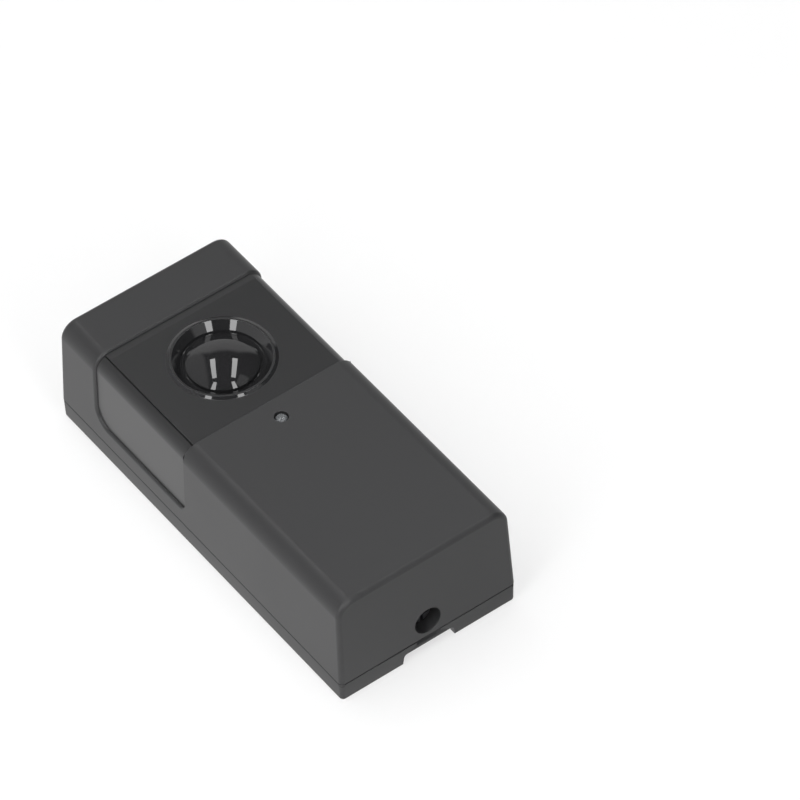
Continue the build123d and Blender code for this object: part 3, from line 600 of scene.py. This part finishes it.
def smoked_window_material(code, centre, polish_radius, land):
    """Smoked polycarbonate: a satin panel and wings, and a lens polished to a mirror gloss."""
    material, tree, output, place = new_material("smoked_polycarbonate")
    flat = add_node(
        tree, "ShaderNodeVectorMath", {1: (1.0, 1.0, 0.0)}, {0: place}, operation="MULTIPLY",
    )
    reach = add_node(
        tree, "ShaderNodeVectorMath", {1: (*centre, 0.0)}, {0: flat.outputs["Vector"]},
        operation="DISTANCE",
    ).outputs["Value"]
    blur = 0.1 * MM
    outside = add_node(
        tree, "ShaderNodeMapRange", span(polish_radius - blur, polish_radius + blur, 0.0, 1.0),
        {"Value": reach},
    )
    crest = add_node(
        tree, "ShaderNodeMath", {1: (land[0] + land[1]) / 2, 2: (land[1] - land[0]) / 2},
        {0: reach}, operation="COMPARE",
    )
    satin = add_node(
        tree, "ShaderNodeMath", {}, {0: outside.outputs["Result"], 1: crest.outputs["Value"]},
        operation="MAXIMUM",
    ).outputs["Value"]
    noisy = add_node(tree, "ShaderNodeTexNoise", noise(0.35, 2.0), {"Vector": place})
    grain = noisy.outputs["Fac"]
    tint = add_node(tree, "ShaderNodeMix", tints(code, 0.04), {0: grain}, data_type="RGBA")
    haze = add_node(tree, "ShaderNodeMapRange", span(0.0, 1.0, 0.025, 0.3), {"Value": satin})
    pitted = add_node(tree, "ShaderNodeMath", {}, {0: satin, 1: grain}, operation="MULTIPLY")
    bump = add_node(
        tree, "ShaderNodeBump", {"Strength": 0.25, "Distance": 0.004 * MM},
        {"Height": pitted.outputs["Value"]},
    )
    give_surface(tree, output, {"IOR": 1.585}, tint, haze, bump)
    return material


# Pieces


class PHOTOCELL_OT_front_cover(bpy.types.Operator):
    """Model the drafted cover with its wrap-round opening, lamp hole and screw well"""

    bl_idname = "photocell.front_cover"
    bl_label = "Front cover"

    screw_well_radius = 3.6 * MM
    screw_shank_radius = 1.55 * MM
    screw_seat_y = screw_low.y + 1.9 * MM
    boss_wall = 0.9 * MM
    boss_floor = 1.4 * MM
    lamp_hole_radius = 1.7 * MM
    lamp_pocket_radius = 1.85 * MM
    lamp_boss_radius = 3.75 * MM
    # Round of the opening's near rim, as a share of its far rim's.
    near_rim_share = 0.33
    seam_height = 0.34 * MM
    seam_depth = 0.6 * MM
    hook_x = 13.0 * MM
    hook_width = 8.4 * MM
    hook_z = 10.6 * MM
    hook_height = 1.8 * MM
    hook_y = (52.65 * MM, 54.68 * MM)

    def execute(self, context):
        size = settings("housing")
        lamp = (lamp_low + lamp_high) / 2
        screw_z = (screw_low.z + screw_high.z) / 2
        outside = -2 * size.half_length
        boss_y = self.screw_seat_y + self.boss_floor

        cover = moulded_form("cover_moulding", 0, size.end_radius)
        combine(cover, moulded_form("inside", size.wall, size.inner_radius), "DIFFERENCE")
        boss = add_bar(
            "boss", self.screw_well_radius + self.boss_wall,
            (0, outside / 2 + size.wall / 2, screw_z), (0, boss_y, screw_z),
        )
        combine(cover, boss, "UNION")
        collar = add_bar(
            "collar", self.lamp_boss_radius,
            (0, lamp.y, size.front - 2 * size.wall), (0, lamp.y, size.front - size.wall / 2),
        )
        combine(cover, collar, "UNION")
        combine(cover, opening_prism("opening", 0), "DIFFERENCE")
        deep = size.front - 3 * size.wall
        for name, radius, end in (
            ("lamp_hole", self.lamp_hole_radius, 2 * size.front),
            ("lamp_pocket", self.lamp_pocket_radius, size.front - size.wall),
        ):
            hole = add_bar(name, radius, (0, lamp.y, deep), (0, lamp.y, end))
            combine(cover, hole, "DIFFERENCE")
        for name, radius, end in (
            ("well", self.screw_well_radius, self.screw_seat_y),
            ("shank", self.screw_shank_radius, boss_y + size.wall),
        ):
            hole = add_bar(name, radius, (0, outside, screw_z), (0, end, screw_z))
            combine(cover, hole, "DIFFERENCE")
        reach = 2 * size.half_length
        seam_top = size.parting + self.seam_height
        seam = add_block("seam", (-reach, -reach, size.parting - MM), (reach, reach, seam_top))
        core = moulded_form("core", self.seam_depth, size.end_radius)
        shift_where(core, lambda v: v.co.z < size.parting + TOUCH, (0, 0, -2 * MM))
        combine(seam, core, "DIFFERENCE")
        combine(cover, seam, "DIFFERENCE")
        for side in (-1, 1):
            edges = [side * self.hook_x + half * self.hook_width / 2 for half in (-1, 1)]
            foot, top = (self.hook_z + half * self.hook_height / 2 for half in (-1, 1))
            pocket = add_block(
                "hook_pocket", (edges[0], self.hook_y[0], foot), (edges[1], self.hook_y[1], top),
            )
            combine(cover, pocket, "DIFFERENCE")
        self.break_rims(cover, size, lamp, screw_z)
        material = grained_plastic(
            "charcoal_abs_spark_grain", settings("colours").housing, rough=0.42,
            grain_mm=0.32, depth_mm=0.012,
        )
        finish_piece(cover, material, replaces=("front_cover",))
        return {"FINISHED"}

    def break_rims(self, cover, size, lamp, screw_z):
        """Rounds the outer rims of the opening, the lamp hole and the screw well."""
        window = settings("window")
        near = window.top - window.length

        def on_opening(point):
            if skin_depth(point, size) > TOUCH or point.z < window.low - TOUCH:
                return False
            if abs(point.y - near) < TOUCH or abs(point.y - window.top) < TOUCH:
                return True
            if abs(point.z - window.low) < TOUCH:
                return near < point.y < window.top
            for y, z, radius in (
                (window.top - window.far_radius, window.low + window.far_radius, window.far_radius),
                (near + window.near_radius, window.low + window.near_radius, window.near_radius),
            ):
                if abs(math.hypot(point.y - y, point.z - z) - radius) < TOUCH:
                    return near < point.y < window.top and point.z < z + TOUCH
            return False

        def rim_share(a, b):
            if not (on_opening(a) and on_opening(b)):
                return 0.0
            along = ((a.y + b.y) / 2 - near) / window.near_radius
            return self.near_rim_share + (1 - self.near_rim_share) * min(1.0, along)

        def is_lamp_rim(edge):
            return all(
                abs(math.hypot(v.co.x, v.co.y - lamp.y) - self.lamp_hole_radius) < TOUCH
                and v.co.z > size.front - TOUCH
                for v in edge.verts
            )

        def is_well_rim(edge):
            return all(
                abs(math.hypot(v.co.x, v.co.z - screw_z) - self.screw_well_radius) < TOUCH
                and v.co.y < self.screw_seat_y - size.wall
                for v in edge.verts
            ) and abs(edge.verts[0].co.y - edge.verts[1].co.y) < size.wall / 4

        round_by_weight(cover, rim_share, size.opening_rim, segments=6)
        for test in (is_lamp_rim, is_well_rim):
            round_where(cover, test, size.broken_edge, segments=3)


class PHOTOCELL_OT_lens_window(bpy.types.Operator):
    """Model the smoked window: wings, raised panel, flange and the turned lens"""

    bl_idname = "photocell.lens_window"
    bl_label = "Window and lens"

    # Height at which the foot of the bead's flank is buried in the panel.
    root = -0.3 * MM
    groove_width = 0.24 * MM
    groove_depth = 0.85 * MM
    crest_ease = 0.05 * MM
    dome_steps = 28
    gutter_half = 0.6 * MM
    gutter_ease = 0.06 * MM
    # Lower than usual, so that the panel, its flank and the walls of the well stay apart.
    crease = math.radians(17)

    def lens_outline(self, panel):
        """Radius and height of the lens from its back to the middle of the dome."""
        lens = settings("lens")

        def at(radius, height):
            return (radius, panel + height)

        outline = [
            at(0, -lens.back_depth),
            at(lens.back_radius, -lens.back_depth),
            at(lens.back_radius, self.root),
            at(lens.bead_radius, self.root),
            at(lens.bead_radius, 0),
        ]
        foot = at(lens.foot_radius, -lens.foot_depth)
        crest = at(lens.crest_radius, lens.bead_height)
        brink = at(lens.well_radius, lens.bead_height)
        rim = at(lens.dome_radius, -lens.dome_depth)
        floor = [
            at(lens.gutter_radius + side * self.gutter_half, -lens.gutter_depth) for side in (1, -1)
        ]
        outline += eased(outline[-1], crest, brink, self.crest_ease)
        outline += eased(crest, brink, foot, self.crest_ease) + [foot]
        outline += eased(foot, floor[0], floor[1], self.gutter_ease)
        outline += eased(floor[0], floor[1], rim, self.gutter_ease) + [rim]
        sphere = (lens.dome_radius**2 + lens.dome_height**2) / (2 * lens.dome_height)
        apex = at(0, lens.dome_height - lens.dome_depth)
        outline += arc(outline[-1], apex, sphere, self.dome_steps)
        return outline + [outline[0]]

    def execute(self, context):
        size = settings("housing")
        window = settings("window")
        lens = settings("lens")
        panel = size.front - window.panel_recess
        near = window.top - window.length + window.fit
        far = window.top - window.fit
        half_panel = window.panel_width / 2
        centre = (0, (near + far) / 2)

        pane = moulded_form("window_moulding", window.recess, size.end_radius - window.recess)
        combine(pane, opening_prism("plug", -window.fit), "INTERSECT")
        low = panel - size.wall
        raised = add_block("raised", (-half_panel, near, low), (half_panel, far, panel))

        def is_panel_edge(edge):
            a, b = (v.co for v in edge.verts)
            return min(a.z, b.z) > panel - TOUCH and abs(a.x - b.x) < TOUCH

        round_where(raised, is_panel_edge, window.panel_round, segments=6)
        reach = window.panel_width
        margin = add_block(
            "margin", (-reach, window.top - window.far_slope, panel),
            (reach, window.top, panel + size.wall),
        )
        shift_where(
            margin, lambda v: v.co.z < panel + TOUCH and v.co.y > window.top - TOUCH,
            (0, 0, -window.far_drop),
        )
        combine(raised, margin, "DIFFERENCE")
        combine(pane, raised, "UNION")
        for side in (-1, 1):
            edges = sorted((side * half_panel, side * (half_panel + self.groove_width)))
            groove = add_block(
                "groove", (edges[0], near - size.wall, panel - self.groove_depth),
                (edges[1], far + size.wall, panel + size.wall),
            )
            combine(pane, groove, "DIFFERENCE")

        behind = size.wall + window.fit
        flange = moulded_form("flange", behind, size.inner_radius)
        combine(flange, opening_prism("flange_reach", window.flange_width), "INTERSECT")
        combine(pane, flange, "UNION")
        inside = moulded_form("inside", behind + window.flange_thickness, size.inner_radius)
        combine(pane, inside, "DIFFERENCE")

        bore = add_bar(
            "bore", lens.back_radius - abs(self.root), (*centre, panel - 2 * lens.back_depth),
            (*centre, panel + size.wall), segments=lens.steps,
        )
        combine(pane, bore, "DIFFERENCE")
        combine(pane, turned("lens", self.lens_outline(panel), centre, lens.steps), "UNION")
        material = smoked_window_material(
            settings("colours").window, centre, lens.bead_radius - 0.1 * MM,
            (lens.well_radius, lens.crest_radius),
        )
        finish_piece(pane, material, self.crease, replaces=("lens_window",))
        return {"FINISHED"}


class PHOTOCELL_OT_status_lamp(bpy.types.Operator):
    """Model the clear status lamp with its lead frame and cup inside"""

    bl_idname = "photocell.status_lamp"
    bl_label = "Status lamp"

    radius = 1.45 * MM
    crown = 0.28 * MM
    crown_radius = 1.26 * MM
    flange_height = 1.0 * MM
    body_height = 5.3 * MM
    lead_half = 0.25 * MM
    lead_gap = 0.01 * MM
    lead_pitch = 2.54 * MM
    cup_radius = 0.62 * MM
    cup_sink = 1.16 * MM
    cup_offset = -0.3 * MM
    # Radius and depth below the cup's rim, as shares of its radius.
    cup_outline = (
        (0, 3), (0.7, 3), (0.7, 1.2), (1, 0), (0.8, 0), (0.4, 0.7), (0, 0.7), (0, 3),
    )
    crown_steps = 10

    def execute(self, context):
        axis = ((lamp_low.x + lamp_high.x) / 2, (lamp_low.y + lamp_high.y) / 2)
        top = lamp_high.z
        foot = top - self.body_height
        rim = (lamp_high.x - lamp_low.x) / 2
        outline = [
            (0, foot), (rim, foot), (rim, foot + self.flange_height),
            (self.radius, foot + self.flange_height), (self.radius, top - 2 * self.crown),
            (self.crown_radius, top - self.crown),
        ]
        bulge = (self.crown_radius**2 + self.crown**2) / (2 * self.crown)
        outline += arc(outline[-1], (0, top), bulge, self.crown_steps)
        lamp = turned("status_lamp", outline + [outline[0]], axis, steps=48)
        finish_piece(lamp, clear_resin_material(), replaces=("status_led",))

        cup_rim = top - self.cup_sink
        cup = turned(
            "lamp_lead_frame",
            [(r * self.cup_radius, cup_rim - d * self.cup_radius) for r, d in self.cup_outline],
            (axis[0], axis[1] + self.cup_offset), steps=32,
        )
        half_pitch = self.lead_pitch / 2
        for i, y in enumerate((axis[1] - half_pitch, axis[1] + half_pitch)):
            lead = add_block(
                f"lead_{i}",
                (axis[0] - self.lead_half, y - self.lead_half, lamp_low.z),
                (axis[0] + self.lead_half, y + self.lead_half, foot - self.lead_gap),
            )
            combine(cup, lead, "UNION")
        metal = plated_metal("silver_plated_lead_frame", "c9c9c6", rough=0.45)
        finish_piece(cup, metal)
        return {"FINISHED"}


class PHOTOCELL_OT_base_shell(bpy.types.Operator):
    """Merge and smooth a copy of the base moulding and give it its grain"""

    bl_idname = "photocell.base_shell"
    bl_label = "Base"

    def execute(self, context):
        deselect_all()
        base = frame["nodes"]["base_shell"].copy()
        base.data = base.data.copy()
        base.name = "base_moulding"
        base.data.name = "base_moulding"
        base.parent = None
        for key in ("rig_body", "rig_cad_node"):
            del base[key]
        context.scene.collection.objects.link(base)
        material = grained_plastic(
            "charcoal_abs_base", settings("colours").housing, rough=0.43,
            grain_mm=0.36, depth_mm=0.014,
        )
        finish_piece(base, material, replaces=("base_shell",))
        return {"FINISHED"}


class PHOTOCELL_OT_inner_parts(bpy.types.Operator):
    """Give every part behind the cover the finish of its real material"""

    bl_idname = "photocell.inner_parts"
    bl_label = "Inner parts"

    def execute(self, context):
        colours = settings("colours")
        rubber = grained_plastic("moulded_rubber", colours.rubber, 0.65, 0.5, 0.02, ior=1.5)
        black = grained_plastic("black_nylon", "1c1c1c", 0.5, 0.4, 0.012)
        resin = grained_plastic("moulded_epoxy", "232324", 0.55, 0.2, 0.01)
        steel = plated_metal("zinc_plated_steel", "b9bbbd")
        sleeve = polished_plastic("shrunk_sleeve", "1b2340", 0.2)
        zinc = plated_metal("black_zinc_steel", "66666a", 0.34)
        brass = plated_metal("bright_brass", "d9b566", 0.25)
        gilt = plated_metal("gilded_pins", "d8b35a", 0.22)
        board = polished_plastic("green_solder_mask", colours.board)
        nylon = polished_plastic("green_polyamide", colours.terminal, 0.3)
        polyester = polished_plastic("pale_polyester", "d8d8d2", 0.3)
        epoxy = polished_plastic("dipped_epoxy", "2d5da8", 0.25)
        alumina = polished_plastic("glazed_alumina", "2b2b30", 0.3)
        finishes = {
            "cover_screw": ("blackened_steel", zinc),
            "board_screws": ("plated_steel", steel),
            "terminal_screws": ("plated_steel", steel),
            "terminal_clamps": ("clamp_brass", brass),
            "selector_header": ("clamp_brass", gilt),
            "cover_seal": ("seal_rubber", rubber),
            "cable_grommet": ("seal_rubber", rubber),
            "led_spacer": ("black_plastic", black),
            "optic_shroud": ("black_plastic", black),
            "selector_jumper": ("black_plastic", black),
            "receiver_diode": ("dark_resin", resin),
            "voltage_regulator": ("dark_resin", resin),
            "rectifier_diodes": ("dark_resin", resin),
            "signal_chip": ("dark_resin", resin),
            "circuit_board": ("board_laminate", board),
            "terminal_block": ("terminal_plastic", nylon),
            "relay": ("relay_case", polyester),
            "storage_capacitor": ("can_sleeve", sleeve),
            "filter_capacitor": ("can_sleeve", sleeve),
            "surge_varistor": ("varistor_coat", epoxy),
            "chip_resistors": ("resistor_ceramic", alumina),
        }
        for node, (slot, material) in finishes.items():
            part = frame["nodes"][node]
            part.data.materials.clear()
            part.data.materials.append(material)
        return {"FINISHED"}


# Stage


def level_ways(studio):
    """The level directions across the picture and towards the camera."""
    across = Vector((math.cos(studio.azimuth), math.sin(studio.azimuth), 0))
    toward = Vector((math.sin(studio.azimuth), -math.cos(studio.azimuth), 0))
    return across, toward


class PHOTOCELL_OT_stage(bpy.types.Operator):
    """Set up the pale floor, the soft studio lamps, the surroundings and the camera"""

    bl_idname = "photocell.stage"
    bl_label = "Studio"

    floor_half = 6.0
    floor_lift = 0.6
    # Painted shadow: the floor that reflections see is dimmed by up to this share across a band to
    # one side of the object, standing in for its shadow there.
    painted_floor_shadow = 0.3
    painted_shadow_reach = (-15 * MM, 45 * MM)
    # Brightness of a strip where it differs from the rest.
    strip_tones = {"card": 0.45}
    fill_height = 1.7
    fill_size = 3.4
    fill_side = -1.1
    # Each strip: sides, width, then the side share, tilt towards the camera in degrees and
    # distance of its ends as seen from the lens.
    strips = {
        "far_strip": ((-1, 1), 0.122, (0.2, -40.2, 1.3), (0.198, -8.6, 1.3)),
        "near_strip": ((-1, 1), 0.122, (0.19, -2.6, 1.67), (0.388, 73.4, 0.559)),
        "card": ((1,), 0.2, (0.42, -14.5, 1.0), (0.345, 3.0, 1.0)),
    }
    # The room's levels: the limits of what each reads, then the values it gives there.
    room = {
        "droop": (0.24, 0.5, 0.0, 0.23),
        "away": (-0.2, 0.2, 1.0, 0.0),
        "band": (0.54, 0.64, 1.0, 0.0),
        "lit_side": (0.79, 0.86, 1.0, 0.0),
        "front": (0.1, 0.3, 0.0, 1.0),
        "middle": (0.26, 0.3, 1.0, 0.0),
        "dim": (-0.36, -0.3, 0.5, 0.04),
    }
    room_tone = 0.85
    sensor_width = 36.0
    clip = (0.05, 50.0)

    def execute(self, context):
        studio = settings("studio")
        self.add_floor(studio)
        self.add_surroundings(context, studio)
        for name, (sides, width, far, near) in self.strips.items():
            radiance = self.strip_tones.get(name, studio.strip_radiance)
            for side in sides:
                label = f"{name}_{'left' if side < 0 else 'right'}"
                start, end = (self.strip_end(studio, side, *place) for place in (far, near))
                self.add_strip(label, width, start, end, radiance)
        self.add_fill(studio)
        self.add_camera(context, studio)
        context.scene.view_settings.view_transform = "Standard"
        return {"FINISHED"}

    def add_floor(self, studio):
        deselect_all()
        bpy.ops.mesh.primitive_plane_add(size=2 * self.floor_half, location=(0, 0, 0))
        floor = named_piece("floor")
        bpy.ops.object.mode_set(mode="EDIT")
        bpy.ops.mesh.subdivide(number_cuts=3)
        bpy.ops.object.mode_set(mode="OBJECT")
        material, tree, output, place = new_material("pale_paper_floor")
        fibre = add_node(tree, "ShaderNodeTexNoise", noise(6, 3.0), {"Vector": place})
        tint = add_node(
            tree, "ShaderNodeMix", tints(studio.floor_colour, 0.01), {0: fibre.outputs["Fac"]},
            data_type="RGBA",
        )
        paper = add_node(tree, "ShaderNodeBsdfDiffuse", {}, {"Color": tint.outputs[MIXED]})
        path = add_node(tree, "ShaderNodeLightPath")
        glossy = path.outputs["Is Glossy Ray"]
        side = add_node(
            tree, "ShaderNodeVectorMath", {1: level_ways(studio)[0]}, {0: place},
            operation="DOT_PRODUCT",
        )
        # Painted shadow: for glossy rays only, the floor's white is dimmed across a band beside the
        # object, so that reflections of the floor show a shadow there.
        shade = add_node(
            tree, "ShaderNodeMapRange", span(*self.painted_shadow_reach, 0.0, self.painted_floor_shadow),
            {"Value": side.outputs["Value"]},
        )
        loss = add_node(
            tree, "ShaderNodeMath", {}, {0: shade.outputs["Result"], 1: glossy},
            operation="MULTIPLY",
        )
        strength = add_node(
            tree, "ShaderNodeMath", {0: 1.0}, {1: loss.outputs["Value"]}, operation="SUBTRACT",
        )
        white = add_node(tree, "ShaderNodeEmission", {}, {"Strength": strength.outputs["Value"]})
        bare = add_node(
            tree, "ShaderNodeMath", {1: self.floor_lift}, {0: path.outputs["Is Camera Ray"]},
            operation="MULTIPLY",
        )
        share = add_node(
            tree, "ShaderNodeMath", {}, {0: bare.outputs["Value"], 1: glossy}, operation="MAXIMUM",
        )
        mixed = add_node(
            tree, "ShaderNodeMixShader", {},
            {0: share.outputs["Value"], 1: paper.outputs["BSDF"], 2: white.outputs["Emission"]},
        )
        tree.links.new(mixed.outputs["Shader"], output.inputs["Surface"])
        floor.data.materials.append(material)

    def add_surroundings(self, context, studio):
        """A pale room up to a line above the horizon, dark overhead and on one side."""
        world = bpy.data.worlds.new("studio_room")
        world.use_nodes = True
        context.scene.world = world
        tree = world.node_tree
        tree.nodes.clear()
        output = add_node(tree, "ShaderNodeOutputWorld")
        view = add_node(tree, "ShaderNodeTexCoord").outputs["Generated"]
        parts = add_node(tree, "ShaderNodeSeparateXYZ", {}, {0: view})
        side, toward = (
            add_node(tree, "ShaderNodeVectorMath", {1: way}, {0: view}, operation="DOT_PRODUCT")
            for way in level_ways(studio)
        )
        spread = add_node(
            tree, "ShaderNodeMath", {}, {0: side.outputs["Value"]}, operation="ABSOLUTE",
        )
        levels = {
            name: add_node(tree, "ShaderNodeMapRange", span(*limits))
            for name, limits in self.room.items()
        }
        given = {name: level.outputs["Result"] for name, level in levels.items()}
        lowered = add_node(
            tree, "ShaderNodeMath", {},
            {0: given["droop"], 1: given["away"], 2: parts.outputs["Z"]}, operation="MULTIPLY_ADD",
        )
        for name, source in (
            ("droop", spread), ("away", toward), ("band", lowered), ("lit_side", side),
            ("front", toward), ("middle", spread), ("dim", side),
        ):
            tree.links.new(source.outputs["Value"], levels[name].inputs["Value"])
        pale, gap = (
            add_node(tree, "ShaderNodeMath", {}, {0: given[a], 1: given[b]}, operation="MULTIPLY")
            for a, b in (("band", "lit_side"), ("front", "middle"))
        )
        height = add_node(
            tree, "ShaderNodeMath", {}, {0: pale.outputs["Value"], 1: gap.outputs["Value"]},
            operation="SUBTRACT", use_clamp=True,
        )
        level = add_node(
            tree, "ShaderNodeMix", {3: self.room_tone},
            {0: height.outputs["Value"], 2: given["dim"]}, data_type="FLOAT",
        )
        path = add_node(tree, "ShaderNodeLightPath")
        seen = add_node(
            tree, "ShaderNodeMix", {3: 1.0},
            {0: path.outputs["Is Camera Ray"], 2: level.outputs[0]}, data_type="FLOAT",
        )
        light = add_node(tree, "ShaderNodeBackground", {}, {"Strength": seen.outputs[0]})
        tree.links.new(light.outputs["Background"], output.inputs["Surface"])

    @staticmethod
    def strip_end(studio, side, share, tilt, distance):
        """A point at a distance from the lens, by its share to one side and its tilt."""
        across, toward = level_ways(studio)
        plane = math.sqrt(1 - share**2)
        tilt = math.radians(tilt)
        way = across * side * share + toward * math.sin(tilt) * plane
        focus = Vector((0, (window_low.y + window_high.y) / 2, window_high.z))
        return focus + (way + Vector((0, 0, 1)) * math.cos(tilt) * plane) * distance

    def add_strip(self, name, width, start, end, radiance):
        """A strip softbox from one point to another, turned to the object."""
        middle = (start + end) / 2
        run = (end - start).normalized()
        cross = run.cross(middle).normalized()
        facing = Matrix((cross, run, cross.cross(run))).transposed().to_4x4()
        place = Matrix.Translation(middle) @ facing
        self.add_lamp(name, width, (end - start).length, radiance, place)

    def add_fill(self, studio):
        """A wide soft light overhead that lifts the floor and shows in no reflection."""
        middle = level_ways(studio)[0] * self.fill_side + Vector((0, 0, self.fill_height))
        facing = middle.to_track_quat("Z", "Y").to_matrix().to_4x4()
        lamp = self.add_lamp(
            "overhead_fill", self.fill_size, self.fill_size, studio.fill_radiance,
            Matrix.Translation(middle) @ facing,
        )
        lamp.visible_glossy = False

    @staticmethod
    def add_lamp(name, width, reach, radiance, place):
        """A rectangular lamp of a given radiance that the camera doesn't see."""
        deselect_all()
        bpy.ops.object.light_add(type="AREA")
        lamp = bpy.context.active_object
        lamp.name = name
        lamp.data.name = name
        lamp.data.shape = "RECTANGLE"
        lamp.data.size = width
        lamp.data.size_y = reach
        lamp.data.energy = radiance * math.pi * width * reach
        lamp.matrix_world = place
        lamp.visible_camera = False
        return lamp

    def add_camera(self, context, studio):
        right, toward = level_ways(studio)
        back = toward * math.cos(studio.elevation) + Vector((0, 0, math.sin(studio.elevation)))
        up = back.cross(right)
        turned_right = right * math.cos(studio.roll) + up * math.sin(studio.roll)
        turned_up = up * math.cos(studio.roll) - right * math.sin(studio.roll)
        deselect_all()
        bpy.ops.object.camera_add()
        camera = context.active_object
        camera.name = "camera"
        axes = Matrix((turned_right, turned_up, back)).transposed().to_4x4()
        place = Vector(studio.target) + back * studio.distance
        camera.matrix_world = Matrix.Translation(place) @ axes
        camera.data.sensor_width = self.sensor_width
        camera.data.lens = studio.focal
        camera.data.clip_start, camera.data.clip_end = self.clip
        context.scene.camera = camera


class PHOTOCELL_PT_panel(bpy.types.Panel):
    """Lists the pieces of the photocell"""

    bl_idname = "PHOTOCELL_PT_panel"
    bl_label = "Beam Photocell"
    bl_space_type = "VIEW_3D"
    bl_region_type = "UI"
    bl_category = "Photocell"

    def draw(self, context):
        layout = self.layout
        for operator in OPERATORS:
            layout.operator(operator.bl_idname, text=operator.bl_label)
        for name, group in GROUPS.items():
            box = layout.box()
            box.label(text=name.capitalize())
            for key in group.__annotations__:
                box.prop(settings(name), key)


GROUPS = {
    "housing": HousingSizes,
    "window": WindowSizes,
    "lens": LensSizes,
    "colours": FinishColours,
    "studio": StudioSettings,
}
OPERATORS = (
    PHOTOCELL_OT_stage,
    PHOTOCELL_OT_base_shell,
    PHOTOCELL_OT_front_cover,
    PHOTOCELL_OT_lens_window,
    PHOTOCELL_OT_status_lamp,
    PHOTOCELL_OT_inner_parts,
)
CLASSES = (*GROUPS.values(), *OPERATORS, PHOTOCELL_PT_panel)


def register():
    for kind in CLASSES:
        bpy.utils.register_class(kind)
    for name, group in GROUPS.items():
        setattr(bpy.types.Scene, "photocell_" + name, bpy.props.PointerProperty(type=group))


def unregister():
    for name in GROUPS:
        delattr(bpy.types.Scene, "photocell_" + name)
    for kind in reversed(CLASSES):
        bpy.utils.unregister_class(kind)


def main():
    """Builds the stage and every piece."""
    register()
    bpy.ops.photocell.stage()
    bpy.ops.photocell.base_shell()
    bpy.ops.photocell.front_cover()
    bpy.ops.photocell.lens_window()
    bpy.ops.photocell.status_lamp()
    bpy.ops.photocell.inner_parts()


if __name__ == "__main__":
    main()
